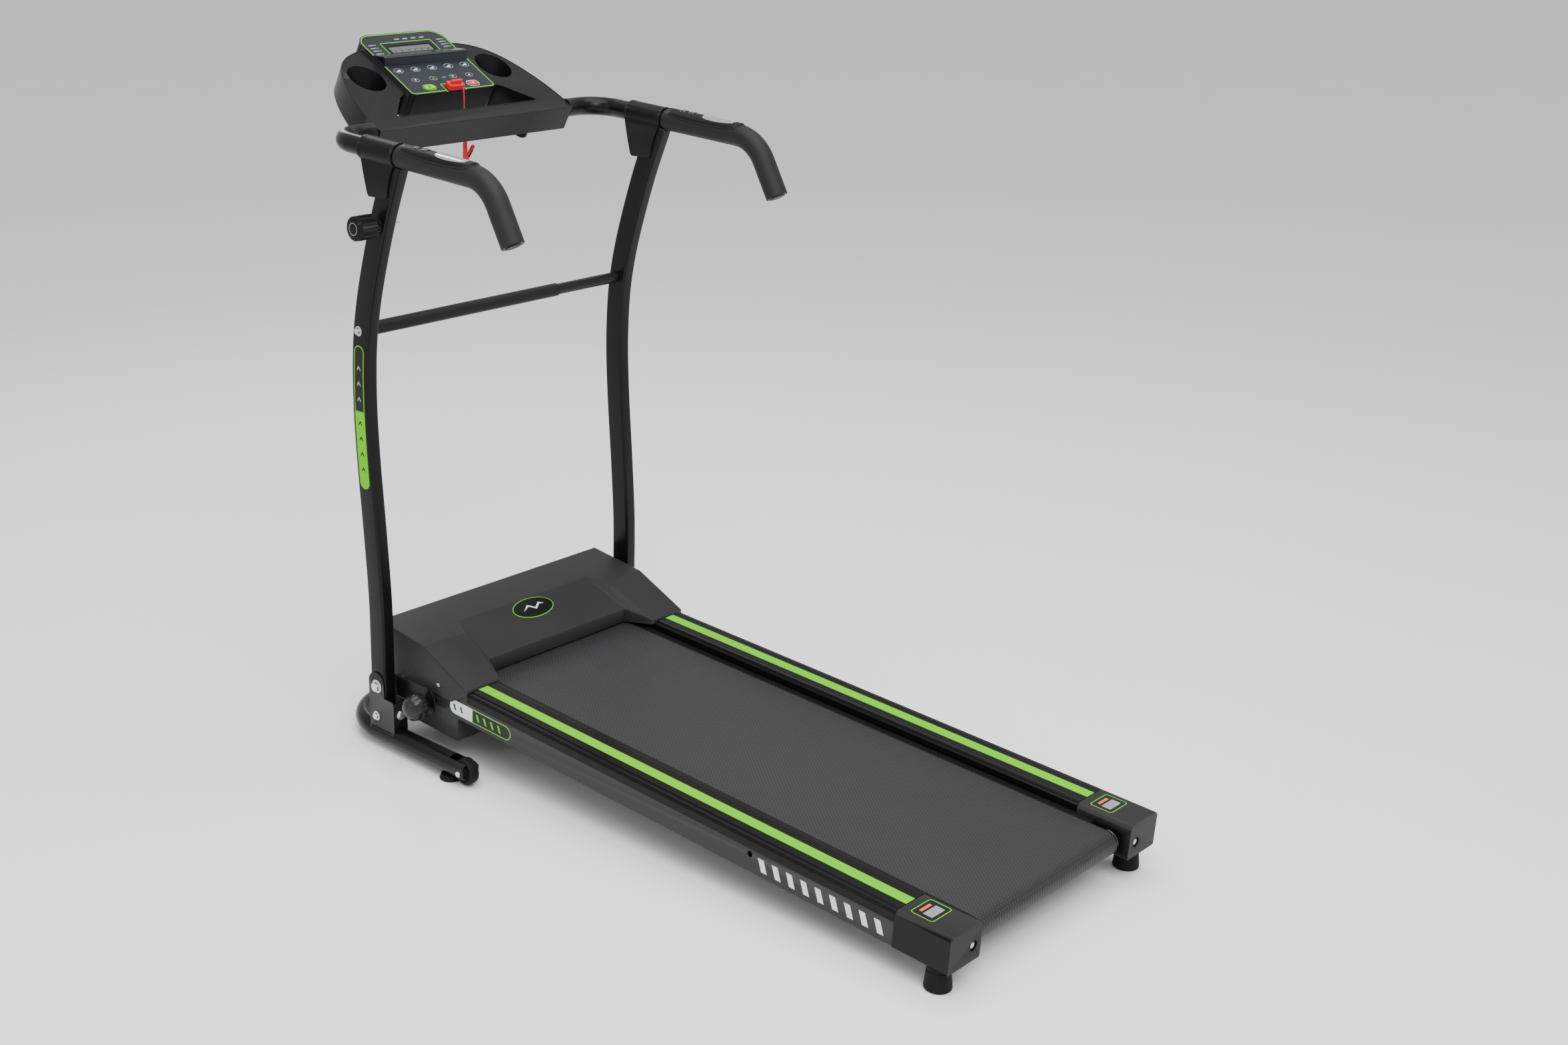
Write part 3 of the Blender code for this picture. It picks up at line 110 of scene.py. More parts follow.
def material(name, colour, roughness, metallic=0.0, second=None, patch=(9.0, 0.5), grain=None,
             rough_spread=0.06, wear=None, specular=0.10, voronoi=False, stretch=(1, 1, 1)):
    """A Principled material whose colour and roughness vary in patches, with a bumped grain."""
    mat = bpy.data.materials.new(name)
    mat.use_nodes = True
    nodes, links = mat.node_tree.nodes, mat.node_tree.links
    shader = nodes["Principled BSDF"]
    shader.inputs["Metallic"].default_value = metallic
    shader.inputs["Specular IOR Level"].default_value = specular if metallic < 0.5 else 0.5
    coords = nodes.new("ShaderNodeTexCoord")
    mapping = nodes.new("ShaderNodeMapping")
    mapping.inputs["Scale"].default_value = stretch
    links.new(coords.outputs["Object"], mapping.inputs["Vector"])
    cloud = nodes.new("ShaderNodeTexNoise")
    cloud.inputs["Scale"].default_value = patch[0]
    cloud.inputs["Detail"].default_value = 6.0
    links.new(mapping.outputs["Vector"], cloud.inputs["Vector"])
    second = second or tuple(min(1.0, c * (1.0 + patch[1])) for c in colour)
    colour_out = mixed(mat.node_tree, cloud.outputs["Fac"], colour, second)
    if wear:
        edge = nodes.new("ShaderNodeNewGeometry")
        ramp = nodes.new("ShaderNodeValToRGB")
        ramp.color_ramp.elements[0].position = 0.53
        ramp.color_ramp.elements[1].position = 0.62
        links.new(edge.outputs["Pointiness"], ramp.inputs["Fac"])
        colour_out = mixed(mat.node_tree, ramp.outputs["Color"], colour_out, wear)
    links.new(colour_out, shader.inputs["Base Color"])
    spread = nodes.new("ShaderNodeMapRange")
    spread.inputs["To Min"].default_value = roughness - rough_spread
    spread.inputs["To Max"].default_value = roughness + rough_spread
    links.new(cloud.outputs["Fac"], spread.inputs["Value"])
    links.new(spread.outputs["Result"], shader.inputs["Roughness"])
    if grain:
        scale, strength, depth = grain
        texture = nodes.new("ShaderNodeTexVoronoi" if voronoi else "ShaderNodeTexNoise")
        texture.inputs["Scale"].default_value = scale
        links.new(mapping.outputs["Vector"], texture.inputs["Vector"])
        bumped(mat.node_tree, texture.outputs["Distance" if voronoi else "Fac"], strength, depth)
    return mat


def belt_material():
    """A dark belt with a fine diamond grain, pressed in two crossing sets of ridges."""
    mat = material("belt weave", (0.0130, 0.0130, 0.0138), 0.50, second=(0.0190, 0.0190, 0.0200),
                   patch=(14.0, 0.4), specular=0.22)
    nodes, links = mat.node_tree.nodes, mat.node_tree.links
    shader = nodes["Principled BSDF"]
    coords = nodes.new("ShaderNodeTexCoord")
    heights = []
    for angle in (38, -38):
        turn = nodes.new("ShaderNodeMapping")
        turn.inputs["Rotation"].default_value = (0.0, 0.0, math.radians(angle))
        links.new(coords.outputs["Object"], turn.inputs["Vector"])
        ridges = nodes.new("ShaderNodeTexWave")
        ridges.inputs["Scale"].default_value = 62.0
        ridges.inputs["Distortion"].default_value = 0.4
        links.new(turn.outputs["Vector"], ridges.inputs["Vector"])
        heights.append(ridges.outputs["Fac"])
    crossed = nodes.new("ShaderNodeMath")
    crossed.operation = "MULTIPLY"
    links.new(heights[0], crossed.inputs[0])
    links.new(heights[1], crossed.inputs[1])
    ridge = crossed.outputs["Value"]
    bumped(mat.node_tree, ridge, 0.55, 0.0006)
    base = shader.inputs["Base Color"].links[0].from_socket
    links.new(mixed(mat.node_tree, ridge, base, (0.034, 0.034, 0.036)), shader.inputs["Base Color"])
    return mat


STEEL_WEAR = (0.045, 0.045, 0.045)
PLASTIC_WEAR = (0.030, 0.030, 0.032)
LOOKS = {
    "paint": material("satin black paint", (0.0030, 0.0030, 0.0033), 0.27, 0.0, (0.0050, 0.0050, 0.0054),
                      grain=(900.0, 0.10, 0.0003), wear=STEEL_WEAR, specular=0.15),
    "moulded": material("fine moulded black", (0.0040, 0.0040, 0.0044), 0.42, second=(0.007, 0.007, 0.0075),
                        grain=(1400.0, 0.30, 0.0003), wear=PLASTIC_WEAR, voronoi=True),
    "console": material("console moulding", (0.0036, 0.0036, 0.0041), 0.27, second=(0.0062, 0.0062, 0.0070),
                        grain=(1300.0, 0.16, 0.0003), wear=PLASTIC_WEAR, specular=0.13, voronoi=True),
    "hood": material("hood moulding", (0.0165, 0.0160, 0.0170), 0.44, second=(0.0240, 0.0232, 0.0245),
                     grain=(950.0, 0.40, 0.0004), wear=(0.05, 0.05, 0.052), voronoi=True),
    "gloss": material("gloss black", (0.0030, 0.0030, 0.0035), 0.16, second=(0.005, 0.005, 0.006),
                      rough_spread=0.03, grain=(260.0, 0.03, 0.0003), specular=0.5),
    "ribbed": material("extruded rail", (0.0030, 0.0030, 0.0034), 0.24, second=(0.0058, 0.0058, 0.0062),
                       grain=(700.0, 0.08, 0.0003), specular=0.11, stretch=(1, 0.06, 1)),
    # The ball knob is gloss black: its dark grey base colour is painted brightening, and its fine lighter
    # speckle is painted glint for its shiny spots. The speckle's roughness spread is real texture.
    "knob": material("ball knob", (0.0075, 0.0075, 0.0082), 0.24, second=(0.016, 0.016, 0.017),
                     patch=(160.0, 0.6), grain=(500.0, 0.25, 0.0004), specular=0.3),
    "end_cap": material("end cap moulding", (0.0030, 0.0030, 0.0033), 0.28, second=(0.0052, 0.0052, 0.0056),
                        grain=(1200.0, 0.10, 0.0003), wear=(0.05, 0.05, 0.05), specular=0.06, voronoi=True),
    "rubber": material("black rubber", (0.0050, 0.0050, 0.0052), 0.62, second=(0.010, 0.010, 0.010),
                       grain=(800.0, 0.30, 0.0004)),
    "foam": material("grip foam", (0.0065, 0.0065, 0.0070), 0.55, second=(0.011, 0.011, 0.012),
                     grain=(1100.0, 0.50, 0.0005), specular=0.22, voronoi=True),
    "zinc": material("zinc plate", (0.58, 0.58, 0.56), 0.26, 1.0, (0.74, 0.73, 0.70), patch=(60.0, 0.2),
                     grain=(1500.0, 0.10, 0.0002)),
    "steel": material("turned steel", (0.46, 0.46, 0.47), 0.30, 1.0, (0.58, 0.58, 0.59),
                      patch=(30.0, 0.2), grain=(900.0, 0.15, 0.0002), stretch=(12, 1, 1)),
    "contact": material("polished contact plate", (0.60, 0.61, 0.63), 0.20, 1.0, (0.72, 0.73, 0.75),
                        patch=(25.0, 0.1), rough_spread=0.05, grain=(700.0, 0.05, 0.0002)),
    "sheet": material("silver grey sheet", (0.18, 0.18, 0.19), 0.42, 0.6, (0.24, 0.24, 0.25),
                      grain=(600.0, 0.12, 0.0003), wear=(0.4, 0.4, 0.4)),
    "motor": material("motor enamel", (0.020, 0.020, 0.024), 0.40, 0.0, grain=(500.0, 0.3, 0.0004)),
    "board": material("black faced board", (0.0055, 0.0050, 0.0046), 0.40, second=(0.010, 0.009, 0.008),
                      patch=(40.0, 0.4), grain=(900.0, 0.3, 0.0004), stretch=(1, 0.2, 1)),
    "laminate": material("board laminate", (0.010, 0.11, 0.035), 0.40, second=(0.016, 0.15, 0.05)),
    "panel": material("printed panel film", (0.0070, 0.0095, 0.0140), 0.26, second=(0.011, 0.014, 0.019),
                      rough_spread=0.04, grain=(1600.0, 0.10, 0.0002), specular=0.22),
    "lime": material("lime print", (0.115, 0.500, 0.0005), 0.60, second=(0.135, 0.55, 0.001),
                     rough_spread=0.05, grain=(900.0, 0.10, 0.0002), specular=0.02),
    "white": material("white print", (0.60, 0.62, 0.64), 0.45, second=(0.70, 0.72, 0.74),
                      grain=(900.0, 0.10, 0.0002)),
    "pale": material("pale grey print", (0.20, 0.22, 0.25), 0.40, second=(0.27, 0.29, 0.32),
                     grain=(900.0, 0.10, 0.0002)),
    "display": material("grey display", (0.075, 0.088, 0.085), 0.25, second=(0.10, 0.115, 0.11),
                        rough_spread=0.04, grain=(700.0, 0.05, 0.0002), specular=0.3),
    "segment": material("dark display marks", (0.016, 0.02, 0.02), 0.35, grain=(700.0, 0.05, 0.0002)),
    "ledge": material("device ledge", (0.0025, 0.0040, 0.0085), 0.16, second=(0.004, 0.0065, 0.013),
                      rough_spread=0.04, grain=(240.0, 0.03, 0.0003), specular=0.5),
    "red": material("red moulding", (0.50, 0.006, 0.012), 0.34, second=(0.60, 0.012, 0.018),
                    grain=(900.0, 0.15, 0.0003), specular=0.3),
    "cord": material("red cord", (0.48, 0.008, 0.028), 0.62, second=(0.62, 0.02, 0.045),
                     patch=(700.0, 0.3), grain=(1500.0, 0.8, 0.0004)),
    "orange": material("orange print", (0.62, 0.11, 0.02), 0.40, grain=(900.0, 0.10, 0.0002)),
    "badge": material("badge black", (0.0025, 0.0025, 0.0028), 0.22, specular=0.2,
                      grain=(400.0, 0.04, 0.0002)),
}
LOOKS["belt"] = belt_material()


# ---------------------------------------------------------------- shape helpers
def linked(name, data):
    obj = bpy.data.objects.new(name, data)
    bpy.context.scene.collection.objects.link(obj)
    return obj


def mesh_object(bm):
    mesh = bpy.data.meshes.new("piece")
    bm.to_mesh(mesh)
    bm.free()
    return linked("piece", mesh)


def bridge(bm, strips):
    """Faces between pairs of rings of the same length."""
    for first, second in strips:
        for k in range(len(first)):
            bm.faces.new((first[k - 1], first[k], second[k], second[k - 1]))


def closed(bm):
    bmesh.ops.recalc_face_normals(bm, faces=bm.faces[:])
    return mesh_object(bm)


def box(low, high):
    low, high = Vector(low), Vector(high)
    bm = bmesh.new()
    size = Matrix.Diagonal((*(high - low), 1.0))
    bmesh.ops.create_cube(bm, size=1.0, matrix=Matrix.Translation((low + high) / 2) @ size)
    return mesh_object(bm)


def rod(start, end, radius, end_radius=None, sides=40):
    start, end = Vector(start), Vector(end)
    turn = (end - start).to_track_quat("Z", "Y").to_matrix().to_4x4()
    bm = bmesh.new()
    bmesh.ops.create_cone(
        bm, cap_ends=True, segments=sides, radius1=radius,
        radius2=radius if end_radius is None else end_radius,
        depth=(end - start).length, matrix=Matrix.Translation((start + end) / 2) @ turn)
    return mesh_object(bm)


def joined(pieces):
    """One mesh object from the evaluated pieces."""
    bpy.context.view_layer.update()
    graph = bpy.context.evaluated_depsgraph_get()
    bm = bmesh.new()
    for piece in pieces:
        mesh = bpy.data.meshes.new_from_object(piece.evaluated_get(graph))
        mesh.transform(piece.matrix_world)
        bm.from_mesh(mesh)
        bpy.data.meshes.remove(mesh)
    bmesh.ops.remove_doubles(bm, verts=bm.verts[:], dist=0.00001)
    if all(edge.is_manifold for edge in bm.edges):
        bmesh.ops.recalc_face_normals(bm, faces=bm.faces[:])
    for piece in pieces:
        bpy.data.objects.remove(piece, do_unlink=True)
    return mesh_object(bm)


AXIS_FRAMES = {
    "X": Matrix(((0, 0, 1, 0), (1, 0, 0, 0), (0, 1, 0, 0), (0, 0, 0, 1))),
    "Y": Matrix(((1, 0, 0, 0), (0, 0, -1, 0), (0, 1, 0, 0), (0, 0, 0, 1))),
    "Z": Matrix.Identity(4),
}


def plate(outlines, axis, low, high):
    """A flat outline, with inner outlines as holes, extruded along an axis."""
    curve = bpy.data.curves.new("outline", "CURVE")
    curve.dimensions = "2D"
    curve.fill_mode = "BOTH"
    curve.extrude = (high - low) / 2
    for outline in outlines:
        spline = curve.splines.new("POLY")
        spline.points.add(len(outline) - 1)
        for point, (u, v) in zip(spline.points, outline):
            point.co = (u, v, 0.0, 1.0)
        spline.use_cyclic_u = True
    obj = linked("piece", curve)
    middle = (low + high) / 2 * (-1 if axis == "Y" else 1)
    way = AXIS_FRAMES[axis]
    obj.matrix_world = Matrix.Translation(way.col[2].xyz * middle) @ way
    return joined([obj])


def round_curve(name, path, radius, resolution, capped=True):
    """A curve object along a path, as thick as its radius."""
    curve = bpy.data.curves.new(name, "CURVE")
    curve.dimensions = "3D"
    curve.bevel_depth = radius
    curve.bevel_resolution = resolution
    curve.use_fill_caps = capped
    spline = curve.splines.new("POLY")
    spline.points.add(len(path) - 1)
    for point, place in zip(spline.points, path):
        point.co = (*place, 1.0)
    return linked(name, curve)


def tube(path, radius, resolution=8, wall=0.0):
    """A round tube along a path; with a wall it is hollow and its ends are open."""
    piece = joined([round_curve("tube", path, radius, resolution, not wall)])
    if wall:
        thicken(piece, wall)
    return joined([piece])


def thicken(obj, wall):
    shell = obj.modifiers.new("wall", "SOLIDIFY")
    shell.thickness = wall
    shell.offset = -1.0
    shell.use_even_offset = True


def turned(profile, centre, axis="X", sides=48):
    """A profile of (distance along the axis, radius) turned about the axis."""
    bm = bmesh.new()
    points = [bm.verts.new((radius, 0.0, along)) for along, radius in profile]
    for first, second in zip(points, points[1:]):
        bm.edges.new((first, second))
    if profile[0][1] > 0 and profile[-1][1] > 0:
        bm.edges.new((points[-1], points[0]))
    obj = mesh_object(bm)
    screw = obj.modifiers.new("turn", "SCREW")
    screw.steps = screw.render_steps = sides
    screw.use_merge_vertices = True
    screw.merge_threshold = 0.00002
    towards = {"X": (1, 0, 0), "Y": (0, 1, 0), "Z": (0, 0, 1)}[axis]
    turn = Vector(towards).to_track_quat("Z", "Y").to_matrix().to_4x4()
    obj.matrix_world = Matrix.Translation(centre) @ turn
    return joined([obj])


def cut(target, *tools, how="DIFFERENCE"):
    for tool in tools:
        boolean = target.modifiers.new(how.lower(), "BOOLEAN")
        boolean.operation = how
        boolean.object = tool
    solid = joined([target])
    for tool in tools:
        bpy.data.objects.remove(tool, do_unlink=True)
    return solid


def mirrored(piece):
    bm = bmesh.new()
    bm.from_mesh(piece.data)
    bmesh.ops.transform(bm, matrix=Matrix.Diagonal((-1.0, 1.0, 1.0, 1.0)), verts=bm.verts[:])
    bmesh.ops.reverse_faces(bm, faces=bm.faces[:])
    return mesh_object(bm)


def finish(name, piece, place, body, slot, look, *nodes, edge=0.0006, angle=32):
    """Places a piece in its frame, rounds its edges, gives it its look and body, and hides the CAD nodes it
    stands for.
    """
    piece.name = piece.data.name = name
    piece.data.transform(place)
    if edge:
        bevel = piece.modifiers.new("edge", "BEVEL")
        bevel.width = edge
        bevel.segments = 2
        bevel.limit_method = "ANGLE"
        bevel.angle_limit = math.radians(35)
        bevel.use_clamp_overlap = True
    piece.data.shade_smooth()
    piece.data.set_sharp_from_angle(angle=math.radians(angle))
    if edge:
        piece.modifiers.new("normals", "WEIGHTED_NORMAL").keep_sharp = True
    piece.data.materials.clear()
    piece.data.materials.append(LOOKS[look])
    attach(piece, body)
    if nodes:
        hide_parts(*nodes)
    return piece


def finish_pair(name, piece, place, body, slot, look, node=None, **options):
    """The same on both sides, from the right-hand piece."""
    for side, copy in (("left", mirrored(piece)), ("right", piece)):
        nodes = [side + "_" + node] if node else []
        finish(side + "_" + name, copy, place, body, slot, look, *nodes, **options)


def floor_piece(name, piece, slot, look, *nodes, **options):
    return finish(name, piece, FLOOR_FRAME, "frame", slot, look, *nodes, **options)


def floor_pair(name, piece, slot, look, node=None, **options):
    finish_pair(name, piece, FLOOR_FRAME, "frame", slot, look, node, **options)


def painted(name, piece, node=None, edge=0.0006):
    floor_piece(name, piece, "frame_paint", "paint", *([node] if node else []), edge=edge)


def painted_pair(name, piece, node=None, edge=0.0006):
    floor_pair(name, piece, "frame_paint", "paint", node, edge=edge)


def zinc_pair(name, piece, node=None):
    floor_pair(name, piece, "zinc", "zinc", node, edge=0.0003)


def console_piece(name, piece, slot, look, *nodes, **options):
    return finish(name, piece, CONSOLE_FRAME, "frame", slot, look, *nodes, **options)


def deck_piece(name, piece, slot, look, *nodes, **options):
    return finish(name, piece, DECK_FRAME, "deck", slot, look, *nodes, **options)


def deck_pair(name, piece, slot, look, node=None, **options):
    finish_pair(name, piece, DECK_FRAME, "deck", slot, look, node, **options)


# ---------------------------------------------------------------- outlines and paths
def arc(centre, radius, start, end, steps):
    angles = [math.radians(start + (end - start) * step / steps) for step in range(steps + 1)]
    return [(centre[0] + radius * math.cos(a), centre[1] + radius * math.sin(a)) for a in angles]


def ellipse(centre, half_u, half_v, steps=48):
    turns = [2 * math.pi * k / steps for k in range(steps)]
    return [(centre[0] + half_u * math.cos(a), centre[1] + half_v * math.sin(a)) for a in turns]


def rounded_rectangle(low, high, radii, steps=8):
    (x0, y0), (x1, y1) = low, high
    a, b, c, d = radii
    return (arc((x0 + a, y0 + a), a, 180, 270, steps) + arc((x1 - b, y0 + b), b, 270, 360, steps)
            + arc((x1 - c, y1 - c), c, 0, 90, steps) + arc((x0 + d, y1 - d), d, 90, 180, steps))


def rounded_path(points, radii, steps=14):
    points = [Vector(p) for p in points]
    path = [points[0]]
    for before, corner, after, radius in zip(points, points[1:], points[2:], radii):
        back, ahead = (before - corner).normalized(), (after - corner).normalized()
        half = back.angle(ahead) / 2
        centre = corner + (back + ahead).normalized() * radius / math.sin(half)
        start = corner + back * radius / math.tan(half) - centre
        end = corner + ahead * radius / math.tan(half) - centre
        sweep = start.angle(end)
        for step in range(steps + 1):
            t = step / steps
            path.append(centre + (start * math.sin((1 - t) * sweep) + end * math.sin(t * sweep))
                        / math.sin(sweep))
    return path + [points[-1]]


def smooth_path(points, steps):
    points = [Vector(p) for p in points]
    ends = [2 * points[0] - points[1]] + points + [2 * points[-1] - points[-2]]
    path = []
    for a, b, c, d in zip(ends, ends[1:], ends[2:], ends[3:]):
        for step in range(steps):
            t = step / steps
            path.append(((2 * b) + (c - a) * t + (2 * a - 5 * b + 4 * c - d) * t ** 2
                         + (3 * b - a - 3 * c + d) * t ** 3) / 2)
    return path + [points[-1]]


def stadium(start, end, radius, steps=20):
    heading = math.degrees(math.atan2(end[1] - start[1], end[0] - start[0]))
    return (arc(start, radius, heading + 90, heading + 270, steps)
            + arc(end, radius, heading - 90, heading + 90, steps))


def inset(outline, distance):
    result = []
    count = len(outline)
    for index in range(count):
        here = Vector(outline[index])
        back = (here - Vector(outline[index - 1])).normalized()
        ahead = (Vector(outline[(index + 1) % count]) - here).normalized()
        normal_back, normal_ahead = Vector((-back.y, back.x)), Vector((-ahead.y, ahead.x))
        bisector = (normal_back + normal_ahead).normalized()
        result.append(tuple(here + bisector * distance / bisector.dot(normal_back)))
    return result


def bolt_head(place, away, size, height=0.005, washer=0.0):
    """A hexagon head with a chamfered top, and a washer under it if asked."""
    place, away = Vector(place), Vector(away)
    hexagon = rod(place + away * washer, place + away * (washer + height), size, sides=6)
    dome = rod(place - away * 0.001, place + away * (washer + height), size * 1.22, size * 0.86, 48)
    pieces = [cut(hexagon, dome, how="INTERSECT")]
    if washer:
        pieces.append(rod(place, place + away * washer, size * 1.28, sides=48))
    return joined(pieces)


# ---------------------------------------------------------------- base and uprights
def bracket():
    rear, front, low, shoulder = 1.1420, 1.2090, 0.0360, 0.1000
    tab_r, thick = 0.0205, 0.0025
    outline = ([(rear, low), (front, low)] + arc((front - tab_r, 0.1250), tab_r, 0, 180, 24)
               + [(front - 2 * tab_r, shoulder), (rear + 0.004, shoulder), (rear, shoulder - 0.004)])
    solid = plate([outline], "X", PLATE_INNER, PLATE_OUTER)
    channel = box((PLATE_INNER + thick, rear + thick, 0.0), (PLATE_OUTER - thick, 1.25, 0.20))
    saddle = rod((UPRIGHT_X, 1.10, BASE_Z), (UPRIGHT_X, 1.25, BASE_Z), BASE_R - 0.0004, sides=64)
    bolt_hole = rod((0.27, *PIVOT), (0.33, *PIVOT), 0.0053)
    return cut(solid, channel, saddle, bolt_hole)


def weld_bead():
    """The fillet where the bracket stands on the base tube."""
    inner = BASE_R * 0.78
    beads = []
    for side in (-1, 1):
        x = UPRIGHT_X + side * (PLATE_OUTER - UPRIGHT_X)
        z = BASE_Z + inner * 0.62
        path = [(x, 1.1440 + 0.0640 * k / 24, z + 0.0004 * (k % 2)) for k in range(25)]
        beads.append(tube(path, 0.0022, 4))
    return joined(beads)


def build_base():
    path = rounded_path([(UPRIGHT_X, LEG_END_Y, BASE_Z), (UPRIGHT_X, BASE_FRONT_Y, BASE_Z),
                         (-UPRIGHT_X, BASE_FRONT_Y, BASE_Z), (-UPRIGHT_X, LEG_END_Y, BASE_Z)],
                        [BASE_CORNER_R] * 2, 20)
    frame_tube = tube(path, BASE_R, 12, 0.0018)
    half_slot = 0.0105
    forks = [box((x - half_slot, 0.94, -0.01), (x + half_slot, 1.0, 0.07)) for x in (-UPRIGHT_X, UPRIGHT_X)]
    painted("base_tube_skin", cut(frame_tube, *forks), "base_frame", edge=0.0003)
    painted_pair("foot_bracket", bracket())
    painted_pair("weld_bead", weld_bead(), edge=0)
    zinc_pair("flange_bolt", bolt_head((UPRIGHT_X, 1.1420, 0.074), (0, -1, 0), 0.0070, 0.0042, 0.0010))

    fork_eye = rod((PLATE_OUTER + 0.0030, *WHEEL_AXIS), (UPRIGHT_X + BASE_R * 0.72, *WHEEL_AXIS), 0.0100)
    painted_pair("fork_eye", fork_eye)
    head = bolt_head((PLATE_OUTER + 0.0033, *WHEEL_AXIS), (1, 0, 0), 0.0056, 0.0030)
    nut = bolt_head((UPRIGHT_X - BASE_R - GAP, *WHEEL_AXIS), (-1, 0, 0), 0.0062, 0.0048)
    shaft = rod((UPRIGHT_X - BASE_R, *WHEEL_AXIS), (PLATE_OUTER + 0.0034, *WHEEL_AXIS), 0.0040, sides=24)
    zinc_pair("wheel_bolt", joined([head, nut, shaft]), "wheel_axle")
    build_wheels()

    foot = [(0.0, 0.0), (0.0, 0.0182), (0.0014, 0.0200), (0.0042, 0.0198), (0.0056, 0.0182),
            (0.0097, 0.0174), (0.0097, 0.0)]
    for name, x, y in (("leg_pad", UPRIGHT_X + 0.0008, 1.0080), ("front_pad", 0.150, BASE_FRONT_Y)):
        pad = turned(foot[::-1], (x, y, 0.0), "Z")
        floor_pair(name + "_skin", pad, "foot_rubber", "rubber", name, edge=0.0004)


def build_wheels():
    """Each wheel has a crowned tread, a dished face with five webs, and a hub."""
    half, radius, bore = 0.009, 0.0235, 0.0043
    dished = 0.0022
    profile = [(-half, bore), (-half, 0.0070), (-half + dished, 0.0082), (-half + dished, 0.0170),
               (-half, 0.0182), (-half, radius - 0.0030), (-half + 0.0010, radius - 0.0010),
               (-half + 0.0030, radius - 0.0002), (0.0, radius), (half - 0.0030, radius - 0.0002),
               (half - 0.0010, radius - 0.0010), (half, radius - 0.0030), (half, 0.0182),
               (half - dished, 0.0170), (half - dished, 0.0082), (half, 0.0070), (half, bore)]
    centre = Vector((UPRIGHT_X, *WHEEL_AXIS))
    wheel = turned(profile, centre, "X", 64)
    webs = []
    for k in range(5):
        web = box((-half + 0.0004, -0.0009, 0.0060), (half - 0.0004, 0.0009, 0.0178))
        web.data.transform(Matrix.Translation(centre) @ Matrix.Rotation(math.radians(72 * k), 4, "X"))
        webs.append(web)
    wheel = joined([wheel, *webs])
    for side, copy in (("left", mirrored(wheel)), ("right", wheel)):
        finish(side + "_wheel_skin", copy, FLOOR_FRAME, side + "_wheel", "wheel_rubber", "rubber",
               side + "_wheel", edge=0.0003)


UPRIGHT_LINE = [(1.1885, 0.0520), (1.1868, 0.1700), (1.1865, 0.2800), (1.1935, 0.4000),
                (1.2025, 0.5200), (1.2065, 0.6200), (1.2030, 0.7100), (1.1925, 0.7800),
                (1.1725, 0.8550), (1.1400, 0.9500), (1.1085, 1.0260), (1.1002, 1.0460)]
UPRIGHT_SIZE = (0.025, 0.040)


def upright(x):
    """A curved rectangular tube with round corners, whose top is notched round the hand rail's sleeve."""
    path = smooth_path([(x, y, z) for y, z in UPRIGHT_LINE], 8)
    half_x, half_y = UPRIGHT_SIZE[0] / 2, UPRIGHT_SIZE[1] / 2
    outer = rounded_rectangle((-half_x, -half_y), (half_x, half_y), [0.005] * 4, 6)
    bm = bmesh.new()
    shells = []
    for outline in (outer, inset(outer, 0.0018)):
        rings = []
        for index, place in enumerate(path):
            ahead = (path[min(index + 1, len(path) - 1)] - path[max(index - 1, 0)]).normalized()
            forward = Vector((0.0, ahead.z, -ahead.y))
            rings.append([bm.verts.new(place + Vector((u, 0.0, 0.0)) + forward * v) for u, v in outline])
        shells.append(rings)
    strips = [(lower, upper) for rings in shells for lower, upper in zip(rings, rings[1:])]
    strips += [(shells[0][end], shells[1][end]) for end in (0, -1)]
    bridge(bm, strips)
    ends = [Vector((math.copysign(HANDLE_X, x), y, rail_z(y))) for y in (1.05, 1.20)]
    return cut(closed(bm), rod(*ends, HANDLE_R + 0.0038 + GAP, sides=64))


def label_line(z_low, z_high, steps=16):
    """The upright's centre line between two heights, as (y, z) points."""
    line = smooth_path([(0.0, y, z) for y, z in UPRIGHT_LINE], 12)
    heights = [z_low + (z_high - z_low) * k / steps for k in range(steps + 1)]
    result = []
    for z in heights:
        below = max((p for p in line if p.z <= z), key=lambda p: p.z)
        above = min((p for p in line if p.z > z), key=lambda p: p.z)
        t = (z - below.z) / (above.z - below.z)
        result.append((below.y + (above.y - below.y) * t, z))
    return result


def label_band(line, half, round_low, round_high, steps=10):
    """A band of a constant half width along a line, with a round or a square end."""
    left = [(y - half, z) for y, z in line]
    right = [(y + half, z) for y, z in line]
    outline = list(right)
    if round_high:
        outline += arc(line[-1], half, 0, 180, steps)[1:-1]
    outline += left[::-1]
    if round_low:
        outline += arc(line[0], half, 180, 360, steps)[1:-1]
    return outline


def build_upright_labels():
    """A plain capsule label on each upright's outer face: lime below, black with a lime rim above."""
    face = UPRIGHT_X + UPRIGHT_SIZE[0] / 2
    low, split, high, half = 0.4930, 0.6160, 0.7190, 0.0118
    lower = label_band(label_line(low, split), half, True, False)
    upper = label_band(label_line(split, high), half, False, True)
    rim = label_band(label_line(low, high, 28), half + 0.0008, True, True)
    sheets = (("label_rim", [rim], 0.00005, 0.00015, "lime"),
              ("label_lower", [lower], 0.00015, 0.00028, "lime"),
              ("label_upper", [inset(upper, 0.0010)], 0.00015, 0.00028, "badge"))
    for name, outline, start, end, look in sheets:
        sheet = plate(outline, "X", face + start, face + end)
        floor_pair("upright_" + name, sheet, "frame_paint", look, edge=0)
    for name, first, count, look in (("chevron", 0.5100, 4, "badge"), ("light_chevron", 0.6330, 3, "pale")):
        for k in range(count):
            low, size = first + 0.027 * k, 0.0045
            y, z = label_line(low, low + 0.001, 1)[0]
            chevron = [(y - size, z), (y, z + size * 1.3), (y + size, z), (y + size, z + size * 0.9),
                       (y, z + size * 2.2), (y - size, z + size * 0.9)]
            sheet = plate([chevron], "X", face + 0.00028, face + 0.00038)
            floor_pair("upright_%s_%d" % (name, k), sheet, "frame_paint", look, edge=0)


